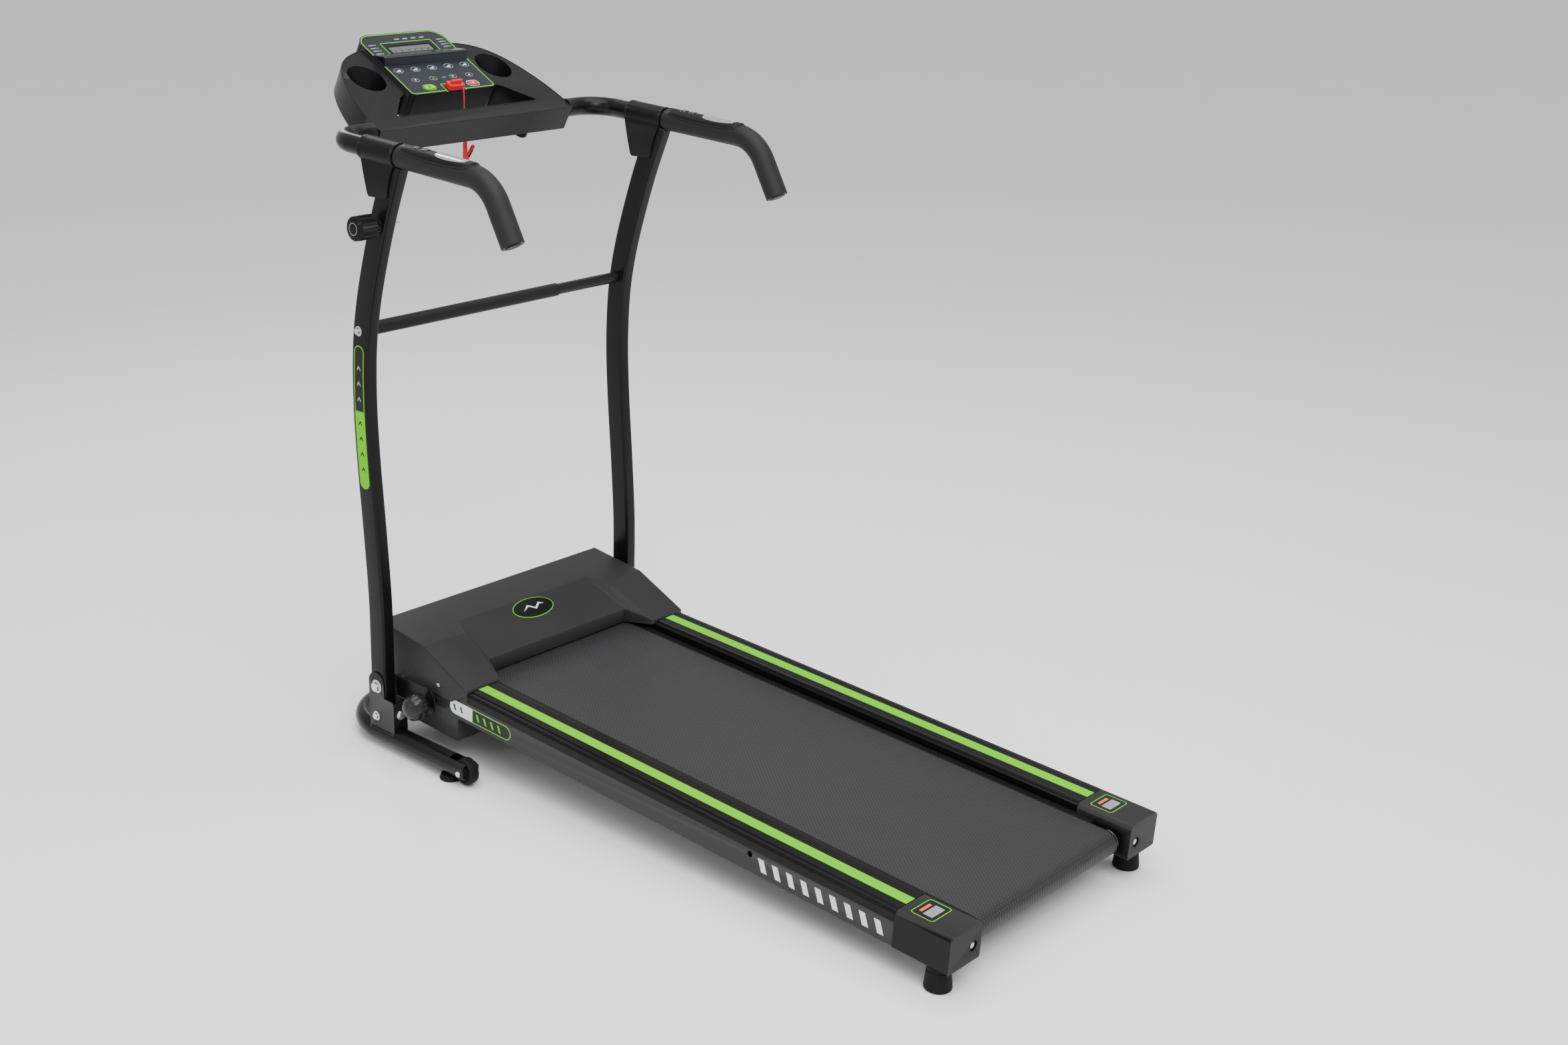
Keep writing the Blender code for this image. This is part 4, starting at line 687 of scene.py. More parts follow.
def build_uprights():
    left = upright(-UPRIGHT_X)
    hole = rod((-0.28, *UPPER_LOCK_AXIS), (-0.30, *UPPER_LOCK_AXIS), LOCK_PIN_R + GAP)
    painted("left_upright_skin", cut(left, hole), "left_upright", edge=0)
    painted("right_upright_skin", upright(UPRIGHT_X), "right_upright", edge=0)
    boss = turned([(-0.3290, 0.0048), (-0.3290, 0.0095), (-0.3285, 0.0100), (-0.3160, 0.0100),
                   (-0.3146, 0.0118), (-0.3146, 0.0048)], (0.0, *UPPER_LOCK_AXIS))
    painted("upper_lock_boss", boss, edge=0.0003)

    big = bolt_head((PLATE_OUTER + GAP, *PIVOT), (1, 0, 0), 0.0095, 0.0058, 0.0012)
    shoulder = rod((STEEL_OUTER + GAP, *PIVOT), (PLATE_OUTER, *PIVOT), 0.0050)
    bush = turned([(0.2686, 0.0051), (0.2686, 0.0080), (0.2834, 0.0080), (0.2834, 0.0051)], (0.0, *PIVOT))
    tip = rod((0.2560, *PIVOT), (STEEL_OUTER, *PIVOT), 0.0050)
    zinc_pair("pivot_bolt_skin", joined([big, shoulder, bush, tip]), "pivot_bolt")
    small = bolt_head((PLATE_OUTER + GAP, *LOW_BOLT), (1, 0, 0), 0.0066, 0.0042, 0.0010)
    nut = bolt_head((PLATE_INNER - GAP, *LOW_BOLT), (-1, 0, 0), 0.0065, 0.0046)
    shaft = rod((0.2812, *LOW_BOLT), (PLATE_OUTER, *LOW_BOLT), 0.0040, sides=24)
    zinc_pair("foot_bolt_skin", joined([small, nut, shaft]), "foot_bolt")

    inner = UPRIGHT_X - UPRIGHT_SIZE[0] / 2 - GAP
    painted("crossbar_skin", rod((-inner, *CROSSBAR), (inner, *CROSSBAR), 0.0100, sides=64), "crossbar")
    sleeve = tube([(-inner + 0.001, *CROSSBAR), (0.138, *CROSSBAR)], 0.0118, 14, 0.0015)
    floor_piece("crossbar_sleeve_skin", sleeve, "moulded_black", "moulded", "crossbar_sleeve", edge=0.0005)
    face = UPRIGHT_X + UPRIGHT_SIZE[0] / 2
    zinc_pair("crossbar_bolt", bolt_head((face, *CROSSBAR), (1, 0, 0), 0.0066, 0.0042, 0.0010))
    build_upright_labels()


# ---------------------------------------------------------------- locks
def lock_pin(body, axis, end):
    pin = turned([(-LOCK_PIN_TIP, 0.0), (-LOCK_PIN_TIP, 0.0030), (-LOCK_PIN_TIP - 0.0010, LOCK_PIN_R),
                  (end, LOCK_PIN_R), (end, 0.0)], (0.0, *axis))
    finish(body + "_pin", pin, FLOOR_FRAME, body, "roller_steel", "steel", edge=0)


def build_fold_lock():
    y, z = LOCK_AXIS
    face, end, radius, lobes = -0.2975, -0.3360, 0.0245, 8
    bm = bmesh.new()
    rows = 20
    rings = []
    for row in range(rows + 1):
        a = math.radians(112 * row / rows)
        along = end + radius * (1 - math.cos(a))
        size = radius * math.sin(a)
        rings.append(lobed_ring(bm, (along, y, z), size, lobes, 0.055))
    for along, size, depth in ((face - 0.0012, 0.0202, 0.045), (face, 0.0180, 0.02), (face, 0.0098, 0.0),
                               (face - 0.0098, 0.0098, 0.0)):
        rings.append(lobed_ring(bm, (along, y, z), size, lobes, depth))
    bridge(bm, zip(rings, rings[1:]))
    bm.faces.new(rings[-1])
    bmesh.ops.remove_doubles(bm, verts=bm.verts[:], dist=0.00001)
    knob = closed(bm)
    finish("fold_lock_knob_skin", knob, FLOOR_FRAME, "fold_lock", "gloss_black", "knob",
           "fold_lock_knob", edge=0, angle=60)
    lock_pin("fold_lock", LOCK_AXIS, face - 0.0090)

    outline = ([(1.2060, 0.0900), (1.2060, 0.1370)] + arc((y - 0.0005, 0.1175), 0.0195, 90, 180, 14)
               + arc((y - 0.0005, 0.1095), 0.0195, 180, 270, 14))
    outer = -PLATE_INNER + GAP
    body = plate([outline], "X", outer, outer + 0.0031)
    body = cut(body, rod((-0.27, *PIVOT), (-0.31, *PIVOT), 0.0053),
               rod((-0.27, y, z), (-0.31, y, z), 0.0060))
    sleeve = turned([(-0.2770, 0.0045), (-0.2770, 0.0084), (-0.2776, 0.0090), (-0.2954, 0.0090),
                     (-0.2960, 0.0084), (-0.2960, 0.0045)], (0.0, y, z))
    painted("lock_bracket_skin", joined([body, sleeve]), "lock_bracket", edge=0.0004)


def lobed_ring(bm, centre, radius, lobes, depth, per_lobe=10):
    """A ring across X whose radius swells and sinks with the finger lobes."""
    x, y, z = centre
    ring = []
    for k in range(lobes * per_lobe):
        a = 2 * math.pi * k / (lobes * per_lobe)
        r = radius * (1.0 - depth * (1.0 - math.cos(lobes * a)) / 2)
        ring.append(bm.verts.new((x, y + r * math.cos(a), z + r * math.sin(a))))
    return ring


def build_upper_lock():
    y, z = UPPER_LOCK_AXIS
    face, end, flutes = -0.3270, -0.3650, 12
    rim = []
    for k in range(flutes):
        for part, radius in ((0.0, 0.0205), (0.14, 0.0207), (0.28, 0.0205), (0.36, 0.0190),
                             (0.64, 0.0186), (0.92, 0.0190)):
            a = 2 * math.pi * (k + part) / flutes
            rim.append((y + radius * math.cos(a), z + radius * math.sin(a)))
    barrel = plate([rim], "X", end + 0.0060, face - 0.0020)
    bore = rod((face + 0.01, y, z), (face - 0.012, y, z), 0.0107)
    collar = rod((face, y, z), (face - 0.0022, y, z), 0.0180)
    barrel = cut(barrel, bore)
    collar = cut(collar, rod((face + 0.01, y, z), (face - 0.012, y, z), 0.0107))
    disc = turned([(end, 0.0), (end, 0.0125), (end + 0.0015, 0.0150), (end + 0.0015, 0.0180),
                   (end + 0.0030, 0.0200), (end + 0.0060, 0.0200), (end + 0.0060, 0.0)], (0.0, y, z))
    finish("upper_lock_knob_skin", joined([barrel, collar, disc]), FLOOR_FRAME, "upper_lock",
           "moulded_black", "moulded", "upper_lock_knob", edge=0.0004)
    ring = turned([(end - 0.0001, 0.0092), (end - 0.0001, 0.0102), (end + 0.0004, 0.0102),
                   (end + 0.0004, 0.0092)], (0.0, y, z))
    finish("upper_lock_ring_mark", ring, FLOOR_FRAME, "upper_lock", "moulded_black", "pale", edge=0)
    lock_pin("upper_lock", UPPER_LOCK_AXIS, face - 0.0110)


# ---------------------------------------------------------------- handlebars
def rail_z(y):
    return GRIP_BEND[1] + HANDLE_SLOPE * (y - GRIP_BEND[0])


def hand_rail_path(with_corner):
    points = [(HANDLE_X, *GRIP_END), (HANDLE_X, *GRIP_BEND)]
    radii = [GRIP_BEND_R]
    if with_corner:
        points += [(HANDLE_X, *BEAM_AXIS), (RAIL_INNER_END, *BEAM_AXIS)]
        radii.append(0.055)
    else:
        points.append((HANDLE_X, GRIP_START_Y, rail_z(GRIP_START_Y)))
    return rounded_path(points, radii, 18)


def head_clamp():
    """A sleeve round the hand rail that runs down into a tapering skirt over the upright."""
    rear, front = 1.0890, 1.1740
    top, low = 1.0560, 0.9860
    outline = ([(1.1115, low + 0.004), (1.1155, low), (1.1560, low), (1.1600, low + 0.004),
                (1.1665, 1.0150), (1.1725, 1.0420), (front, top), (rear, top), (1.0925, 1.0400),
                (1.1010, 1.0250), (1.1080, 1.0050)])
    half = UPRIGHT_SIZE[0] / 2
    solid = plate([outline], "X", UPRIGHT_X - half - 0.0033, UPRIGHT_X + half + 0.0033)
    ends = [Vector((HANDLE_X, y, rail_z(y))) for y in (rear, front)]
    along = (ends[1] - ends[0]).normalized()
    sleeve = rod(ends[0], ends[1], HANDLE_R + 0.0038, sides=64)
    lips = [rod(end - along * 0.0025, end + along * 0.0025, HANDLE_R + 0.0042, sides=64)
            for end in (ends[0] + along * 0.0026, ends[1] - along * 0.0026)]
    solid = cut(solid, sleeve, *lips, how="UNION")
    bore = rod(ends[0] - along * 0.03, ends[1] + along * 0.03, HANDLE_R + GAP, sides=64)
    slot = box((UPRIGHT_X - half - GAP, 1.05, 0.95), (UPRIGHT_X + half + GAP, 1.22, 1.0355))
    return cut(solid, bore, slot)


def grip_shell(low_r, high_r, start, end, spread_start, spread_end, blunt=0.9, rows=28, steps=18):
    """A patch of a tube wall over the grip, whose sides close in at both ends."""
    lean = Matrix.Rotation(math.atan(HANDLE_SLOPE), 4, "X")
    place = Matrix.Translation((HANDLE_X, GRIP_START_Y, rail_z(GRIP_START_Y))) @ lean
    bm = bmesh.new()
    rings = []
    for row in range(rows + 1):
        t = row / rows
        y = -(start + (end - start) * t)
        closing = min(1.0, max(0.02, (math.sin(math.pi * t)) ** (1 - blunt)))
        spread = (spread_start + (spread_end - spread_start) * t) * closing
        ring = []
        for radius, order in ((high_r, 1), (low_r, -1)):
            for k in range(steps + 1)[::order]:
                a = math.radians(90 - spread + 2 * spread * k / steps)
                edge = min(k, steps - k) / steps
                rounding = radius - (0.0012 * (1 - min(1.0, edge * 9)) if radius == high_r else 0.0)
                spot = Vector((rounding * math.cos(a), y, rounding * math.sin(a)))
                ring.append(bm.verts.new(place @ spot))
        rings.append(ring)
    bridge(bm, zip(rings, rings[1:]))
    bm.faces.new(rings[0])
    bm.faces.new(rings[-1])
    return closed(bm)


def build_handlebars():
    right = tube(hand_rail_path(True), HANDLE_R, 12, 0.0018)
    plug = rod((RAIL_INNER_END, *BEAM_AXIS), (RAIL_INNER_END + 0.002, *BEAM_AXIS), HANDLE_R - 0.0004,
               sides=64)
    reach = RAIL_INNER_END + 0.001
    beam = rod((-reach, *BEAM_AXIS), (reach, *BEAM_AXIS), BEAM_R, sides=48)
    rail = joined([right, plug])
    painted("handlebar_skin", joined([mirrored(rail), rail, beam]), "handlebar", edge=0.0003)

    path = hand_rail_path(False)
    grip = tube(path, GRIP_R, 14, GRIP_R - HANDLE_R - GAP)
    floor_pair("grip_skin", grip, "grip_foam", "foam", "grip", edge=0.0009)
    end, down = Vector(path[0]), (Vector(path[0]) - Vector(path[1])).normalized()
    plug = [rod(end + down * 0.0002, end - down * 0.010, HANDLE_R - 0.0022)]
    plug.append(rod(end + down * 0.0018, end - down * 0.0005, 0.0120, 0.0150))
    floor_pair("grip_end_plug", joined(plug), "moulded_black", "moulded", edge=0.0005)
    floor_pair("head_clamp_skin", head_clamp(), "moulded_black", "moulded", "head_clamp", edge=0.0008)
    shell = grip_shell(GRIP_R + 0.0001, GRIP_R + 0.0024, 0.006, 0.176, 66, 66, 0.86)
    floor_pair("pulse_shell", shell, "pulse_sensor", "moulded", "pulse_sensor", edge=0, angle=50)
    contact = grip_shell(GRIP_R + 0.0018, GRIP_R + 0.0031, 0.088, 0.162, 44, 36, 0.80)
    floor_pair("pulse_contact", contact, "pulse_sensor", "contact", edge=0, angle=50)
    for index, start in enumerate((0.034, 0.054)):
        stud = grip_shell(GRIP_R + 0.0018, GRIP_R + 0.0034, start, start + 0.013, 24, 24, 0.7, 10, 10)
        floor_pair("pulse_stud_%d" % index, stud, "pulse_sensor", "gloss", edge=0, angle=50)


# ---------------------------------------------------------------- console
def tray_outline():
    right = [(0.2205, 0.0), (0.2218, 0.018), (0.2200, 0.050), (0.2120, 0.095), (0.1960, 0.145),
             (0.1760, 0.182), (0.1500, 0.207), (0.1200, 0.221), (0.0975, 0.2255)]
    arc_points = smooth_path([(x, v, 0.0) for x, v in right], 5)
    side = [(p.x, p.y) for p in arc_points]
    inner = [(0.0975, 0.0950), (0.1060, 0.0900), (0.1180, 0.0830), (0.1600, 0.0360), (0.1540, 0.0335)]
    half = side + inner
    return half + [(-x, v) for x, v in reversed(half)]


def console_up():
    return Vector((0.0, math.sin(CONSOLE_TILT), math.cos(CONSOLE_TILT)))


def in_console(y, z):
    """A floor frame place as the console frame's (v, w)."""
    dy, dz = y - CONSOLE_REF[0], z - CONSOLE_REF[1]
    cos, sin = math.cos(CONSOLE_TILT), math.sin(CONSOLE_TILT)
    return cos * dy + sin * dz, cos * dz - sin * dy


def cup_floor(x):
    return Vector((x, *in_console(CONSOLE_REF[0] + CUP_V * math.cos(CONSOLE_TILT), CUP_FLOOR_Z)))


def build_tray():
    outline = tray_outline()
    wall, depth = 0.0028, 0.045
    tray = plate([outline], "Z", -depth, 0.010)
    hollow = plate([inset(outline, wall)], "Z", -depth - 0.01, -wall)
    tray = cut(tray, hollow)
    up = console_up()
    for x in (-CUP_X, CUP_X):
        floor = cup_floor(x)
        tray = cut(tray, rod(floor - up * 0.0025, floor + up * 0.090, CUP_R - 0.002, CUP_R + 0.0028, 96),
                   how="UNION")
    tray = cut(tray, box((-0.30, -0.05, 0.0), (0.30, 0.35, 0.10)))
    for x in (-CUP_X, CUP_X):
        floor = cup_floor(x)
        tray = cut(tray, rod(floor, floor + up * 0.090, CUP_R - 0.0045, CUP_R + 0.0005, 96))
    console_piece("console_tray_skin", tray, "console_plastic", "console", "console_tray", edge=0.0030)
    for name, x in (("left", -CUP_X), ("right", CUP_X)):
        floor = cup_floor(x)
        ring = tube([floor + Vector((math.cos(a) * 0.024, math.sin(a) * 0.024 * up.z,
                                     -math.sin(a) * 0.024 * up.y)) + up * 0.0004
                     for a in (2 * math.pi * k / 48 for k in range(49))], 0.0008, 3)
        console_piece(name + "_cup_floor_ring", ring, "console_plastic", "console", edge=0)
    lip = inset(outline, 0.0002)
    rim = plate([lip, inset(lip, 0.0016)], "Z", -0.0002, 0.0005)
    console_piece("console_tray_rim", rim, "console_plastic", "console", edge=0.0002)

    beam_v, beam_w = in_console(*BEAM_AXIS)
    head = beam_w - BEAM_R - GAP
    profile = [(-0.0600, 0.0), (-0.0600, 0.0090), (-0.0594, 0.0105), (-0.0580, 0.0118), (-0.0480, 0.0120),
               (-0.0465, 0.0105), (-0.0465, 0.0032), (head, 0.0030), (head, 0.0)]
    console_piece("tray_clamp_knob_skin", turned(profile[::-1], (0.132, beam_v, 0.0), "Z"), "foot_rubber",
                  "rubber", "tray_clamp_knob", edge=0)


def build_module():
    low, high = MODULE_V
    shape = rounded_rectangle((-MODULE_HALF, low), (MODULE_HALF, high), (0.010, 0.010, 0.030, 0.030), 14)
    housing = plate([inset(shape, 0.0010)], "Z", -0.0460, PANEL_W[0] - GAP)
    housing = cut(housing, plate([inset(shape, 0.0035)], "Z", -0.0435, 0.05))
    console_piece("console_housing_skin", housing, "moulded_black", "moulded", "console_housing",
                  edge=0.0014)

    panel = plate([inset(shape, 0.0003)], "Z", *PANEL_W)
    window = plate([rounded_rectangle((-0.0480, 0.2010), (0.0480, 0.2210), [0.0015] * 4)], "Z", -0.01, 0.02)
    keys = [key_shape(place, GAP, -0.01, 0.02) for place in (START_KEY, STOP_KEY)]
    console_piece("console_panel_skin", cut(panel, window, *keys), "panel", "panel", "console_panel",
                  edge=0.0006)
    build_panel_print(shape)
    build_display()
    build_ledge()


START_KEY, STOP_KEY = (-0.0465, 0.0940), (0.0523, 0.0930)
SAFETY_KEY = (0.0035, 0.0862)


def key_shape(centre, grow, low, high, half=0.0055, radius=0.0058):
    x, v = centre
    return plate([stadium((x - half, v), (x + half, v), radius + grow, 16)], "Z", low, high)


def printed(name, outlines, look, level=0):
    """A flat mark printed on the console panel."""
    base = PANEL_W[1] + 0.00002 + level * 0.00005
    mark = plate(outlines, "Z", base, base + 0.00012)
    console_piece(name, mark, "panel", look, edge=0)


def rectangle(low, high, radius=0.0008):
    return rounded_rectangle(low, high, [radius] * 4, 4)


def build_panel_print(shape):
    edge = inset(shape, 0.0022)
    printed("panel_border", [edge, inset(edge, 0.0017)], "lime")
    notch_low, notch_high = 0.0768, 0.0990
    notch = [(-0.0182, notch_low), (-0.0182, notch_high), (0.0246, notch_high), (0.0246, notch_low)]
    for k, (first, second) in enumerate(zip(notch, notch[1:])):
        (x0, v0), (x1, v1) = first, second
        low = (min(x0, x1) - 0.0008, min(v0, v1) - 0.0008)
        high = (max(x0, x1) + 0.0008, max(v0, v1) + 0.0008)
        printed("key_notch_line_%d" % k, [rectangle(low, high, 0.0004)], "lime", 1)
    patch = rectangle((-0.0172, MODULE_V[0] + 0.0012), (0.0236, notch_high - 0.0010))
    printed("key_notch_field", [patch], "panel", 2)

    for k in range(5):
        x, v = (k - 2) * 0.0378, 0.1485
        printed("speed_key_ring_%d" % k, [ellipse((x, v), 0.0098, 0.0070), ellipse((x, v), 0.0090, 0.0062)],
                "pale")
        for bar in range(3):
            low = (x - 0.0050 + 0.0034 * bar, v - 0.0032)
            printed("speed_key_mark_%d_%d" % (k, bar),
                    [rectangle(low, (low[0] + 0.0022, v - 0.0002 + 0.0016 * bar), 0.0003)], "white")
    for k, x in enumerate((-0.0600, -0.0200, 0.0250, 0.0630)):
        v = 0.1180
        printed("lower_key_ring_%d" % k, [ellipse((x, v), 0.0082, 0.0056), ellipse((x, v), 0.0075, 0.0049)],
                "pale")
        arrow = [(x - 0.0026, v - 0.0018), (x + 0.0026, v - 0.0018), (x, v + 0.0024)]
        arrow = arrow if k % 2 else [(x - 0.0026, v + 0.0018), (x, v - 0.0024), (x + 0.0026, v + 0.0018)]
        printed("lower_key_arrow_%d" % k, [arrow], "lime" if k == 1 else "white")
    printed("middle_dash", [rectangle((0.0000, 0.1172), (0.0090, 0.1188), 0.0003)], "pale")
    for name, (x, v) in (("start", START_KEY), ("stop", STOP_KEY)):
        ring = stadium((x - 0.0055, v), (x + 0.0055, v), 0.0082, 14)
        printed(name + "_ring", [ring, inset(ring, 0.0009)], "lime" if name == "start" else "white")
    marks = [(-0.0785, 0.2020 + 0.0086 * k) for k in range(4)]
    marks += [(0.0785, 0.2060 + 0.0078 * k) for k in range(4)]
    for k, (x, v) in enumerate(marks):
        printed("side_mark_%d" % k, [rectangle((x - 0.0075, v - 0.0012), (x + 0.0055, v + 0.0012), 0.0004)],
                "pale")
        printed("side_dot_%d" % k, [ellipse((x + 0.0085, v), 0.0013, 0.0013, 16)], "lime")
    for k in range(4):
        x, v = -0.0130 + 0.0190 * k, 0.2400
        printed("top_mark_%d" % k, [rectangle((x - 0.0055, v - 0.0016), (x + 0.0055, v + 0.0016), 0.0004)],
                "pale")


def build_display():
    rim = rectangle((-0.0580, 0.1960), (0.0580, 0.2320), 0.003)
    printed("display_border", [rim, inset(rim, 0.0014)], "lime")
    bezel = inset(rim, 0.0030)
    printed("display_bezel", [bezel, rectangle((-0.0482, 0.2008), (0.0482, 0.2212), 0.0015)], "badge")
    level = PANEL_W[0] + 0.0014
    lens = plate([rectangle((-0.0477, 0.2013), (0.0477, 0.2207), 0.0012)], "Z", PANEL_W[0], level)
    console_piece("display_sheet", lens, "display", "display", "display_lens", edge=0.0002)
    marks = [rectangle((-0.0015, 0.2035), (-0.0009, 0.2185), 0.0002)]
    for k in range(3):
        marks.append(rectangle((-0.0440, 0.2050 + 0.0052 * k), (-0.0060, 0.2054 + 0.0052 * k), 0.0001))
        marks.append(rectangle((0.0040, 0.2050 + 0.0052 * k), (0.0440, 0.2054 + 0.0052 * k), 0.0001))
    for k in range(6):
        x = -0.0400 + 0.0150 * k
        marks.append(rectangle((x, 0.2066), (x + 0.0042, 0.2090), 0.0004))
    lines = joined([plate([mark], "Z", level, level + 0.0001) for mark in marks])
    console_piece("display_marks", lines, "display", "segment", edge=0)


def build_ledge():
    top = PANEL_W[1] + GAP
    profile = ([(0.1645, top), (0.1990, top)] + arc((0.1745, 0.0186), 0.0012, 40, 130, 5)
               + arc((0.1712, 0.0186), 0.0012, 130, 200, 5))
    ledge = plate([profile], "X", -0.0950, 0.0950)
    console_piece("device_ledge_skin", ledge, "gloss_black", "ledge", "device_ledge", edge=0.0007)


def build_keys():
    for name, place, slot, look in (("start_key", START_KEY, "start_green", "lime"),
                                    ("stop_key", STOP_KEY, "red_plastic", "red")):
        key = key_shape(place, 0.0, PANEL_W[0] + 0.0012, PANEL_W[1] + 0.0011)
        finish(name + "_skin", key, CONSOLE_FRAME, name, slot, look, name, edge=0.0009)
    x, v = STOP_KEY
    level = PANEL_W[1] + 0.0011
    mark = plate([rectangle((x - 0.0022, v - 0.0020), (x + 0.0022, v + 0.0020), 0.0004)], "Z", level,
                 level + 0.0001)
    finish("stop_key_mark", mark, CONSOLE_FRAME, "stop_key", "red_plastic", "white", edge=0)
    x, v = START_KEY
    arrow = plate([[(x - 0.0020, v - 0.0026), (x + 0.0028, v), (x - 0.0020, v + 0.0026)]], "Z", level,
                  level + 0.0001)
    finish("start_key_mark", arrow, CONSOLE_FRAME, "start_key", "start_green", "badge", edge=0)


CORD_R, CORD_X, CORD_DROP_Y, CLIP_TOP_Z = 0.00125, 0.0140, 1.2996, 1.0270


def cord_route():
    """Out of the key's lower edge, over the panel's edge, then straight down to the clip."""
    cos, sin = math.cos(CONSOLE_TILT), math.sin(CONSOLE_TILT)
    v, w = SAFETY_KEY[1] - 0.0085 - GAP, PANEL_W[1] + 0.0045
    start = (CORD_X, CONSOLE_REF[0] + cos * v - sin * w, CONSOLE_REF[1] + sin * v + cos * w)
    lip_z = start[2] - 0.0020
    drops = (lip_z - 0.0080, lip_z - 0.0300, (lip_z + CLIP_TOP_Z) / 2, CLIP_TOP_Z + GAP)
    guide = [start, (CORD_X, CORD_DROP_Y + 0.0012, lip_z)]
    guide += [(CORD_X, CORD_DROP_Y, z) for z in drops]
    return [SHIFT + p for p in smooth_path(guide, 4)]


def build_safety_key():
    x, v = SAFETY_KEY
    base = PANEL_W[1] + GAP
    block = plate([rectangle((x - 0.0165, v - 0.0085), (x + 0.0165, v + 0.0085), 0.003)], "Z", base,
                  base + 0.0085)
    ridge = plate([rectangle((x - 0.0125, v - 0.0030), (x + 0.0125, v + 0.0030), 0.0028)], "Z",
                  base + 0.004, base + 0.0150)
    grooves = [box((x - 0.0090 + 0.0045 * k, v - 0.01, base + 0.0142),
                   (x - 0.0078 + 0.0045 * k, v + 0.01, base + 0.02)) for k in range(5)]
    key = cut(cut(block, ridge, how="UNION"), *grooves)
    finish("safety_key_skin", key, CONSOLE_FRAME, "safety_key", "red_plastic", "red", "safety_key",
           edge=0.0009)

    y, top, low = CORD_DROP_Y, CLIP_TOP_Z, CLIP_TOP_Z - 0.034
    x = CORD_X
    arm_x, arm_z, half = x + 0.0185, low + 0.0230, 0.0028
    outline = [(x - half, top - 0.001), (x - half - 0.001, low + 0.002), (x, low), (x + 0.0050, low),
               (arm_x + half, arm_z - 0.001), (arm_x, arm_z + 0.002), (arm_x - half, arm_z),
               (x + half + 0.001, low + 0.0075), (x + half, top - 0.001), (x, top)]
    slot = plate([[(x + 0.0062, low + 0.0062), (x + 0.0146, low + 0.0172), (x + 0.0160, low + 0.0160),
                   (x + 0.0078, low + 0.0048)]], "Y", y - 0.01, y + 0.01)
    clip = cut(plate([outline], "Y", y - half, y + half), slot)
    clip = finish("key_clip_skin", clip, FLOOR_FRAME, "safety_key", "red_plastic", "red", "key_clip",
                  edge=0.0005)

    route = cord_route()
    cord = round_curve("safety_cord", route, CORD_R, 5)
    cord.data.materials.append(LOOKS["cord"])
    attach(cord, "safety_key")
    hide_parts("key_cord")


# ---------------------------------------------------------------- deck
def foot_rail_section():
    """The right rail's section: stepped top with a groove for the stripe and two grip ribs."""
    return [(RAIL_INNER, -0.0135), (0.1975, -0.0135), (0.1985, -0.0060), (0.2030, -0.0032),
            (0.2450, -0.0032), (0.2450, -0.0059), (0.2688, -0.0059), (0.2688, -0.0190),
            (RAIL_OUTER, -0.0190), (RAIL_OUTER, -0.0060), (0.2660, -0.0022), (0.2592, -0.0022),
            (0.2580, 0.0), (0.2550, 0.0), (0.2545, -0.0006), (0.2535, -0.0006), (0.2530, 0.0),
            (0.2500, 0.0), (0.2495, -0.0006), (0.2485, -0.0006), (0.2480, 0.0), (0.2446, 0.0),
            (0.2446, -0.0006), (0.2222, -0.0006), (0.2222, 0.0), (0.2180, 0.0), (0.2175, -0.0006),
            (0.2165, -0.0006), (0.2160, 0.0), (0.2120, 0.0), (0.2115, -0.0006), (0.2105, -0.0006),
            (0.2100, 0.0), (0.2022, 0.0), (0.2010, -0.0030), (0.1965, -0.0030), (RAIL_INNER, -0.0045)]


def build_rails():
    rail = plate([foot_rail_section()], "Y", RAIL_START, RAIL_END)
    deck_pair("foot_rail_skin", rail, "rail_plastic", "ribbed", "foot_rail", edge=0.0002)
    stripe = box((0.2230, RAIL_START + 0.0005, -0.0006), (0.2438, RAIL_END - 0.0005, -0.0002))
    deck_pair("rail_stripe", stripe, "rail_plastic", "lime", edge=0.0001)
    build_side_labels()


def side_mark(name, outline, level, look):
    """A flat mark on the steel rails' outer faces, stacked by level."""
    base = STEEL_OUTER + 0.00005 + level * 0.0001
    deck_pair(name, plate([outline], "X", base, base + 0.0001), "rail_plastic", look, edge=0)


def build_side_labels():
    """Plain shapes on the steel rails: a two-colour capsule and a row of slanted bars."""
    mid, half = -0.0385, 0.0128
    start, split, end = 0.9050, 0.9890, 1.0340
    side_mark("side_capsule", stadium((end, mid), (start, mid), half, 16), 0, "white")
    cap = arc((start, mid), half, 90, 270, 16) + [(split, mid - half), (split, mid + half)]
    side_mark("side_capsule_rim", inset(cap, 0.0002), 1, "lime")
    side_mark("side_capsule_dark", inset(cap, 0.0016), 2, "badge")
    rows = (("capsule_bar", 4, 0.9700, -0.0180, mid - 0.0062, mid + 0.0062, 0.0045, 0.0050, 3, "lime"),
            ("capsule_dash", 2, 1.0300, -0.0170, mid - 0.0055, mid + 0.0055, 0.0040, 0.0040, 1, "badge"),
            ("bar", 9, 0.1120, 0.0270, -0.0500, -0.0290, 0.0110, 0.0080, 0, "white"))
    for name, count, first, step, low, high, width, lean, level, look in rows:
        for k in range(count):
            y = first + step * k
            bar = [(y + lean, high), (y + lean + width, high), (y + width, low), (y, low)]
            side_mark("side_%s_%d" % (name, k), bar, level, look)


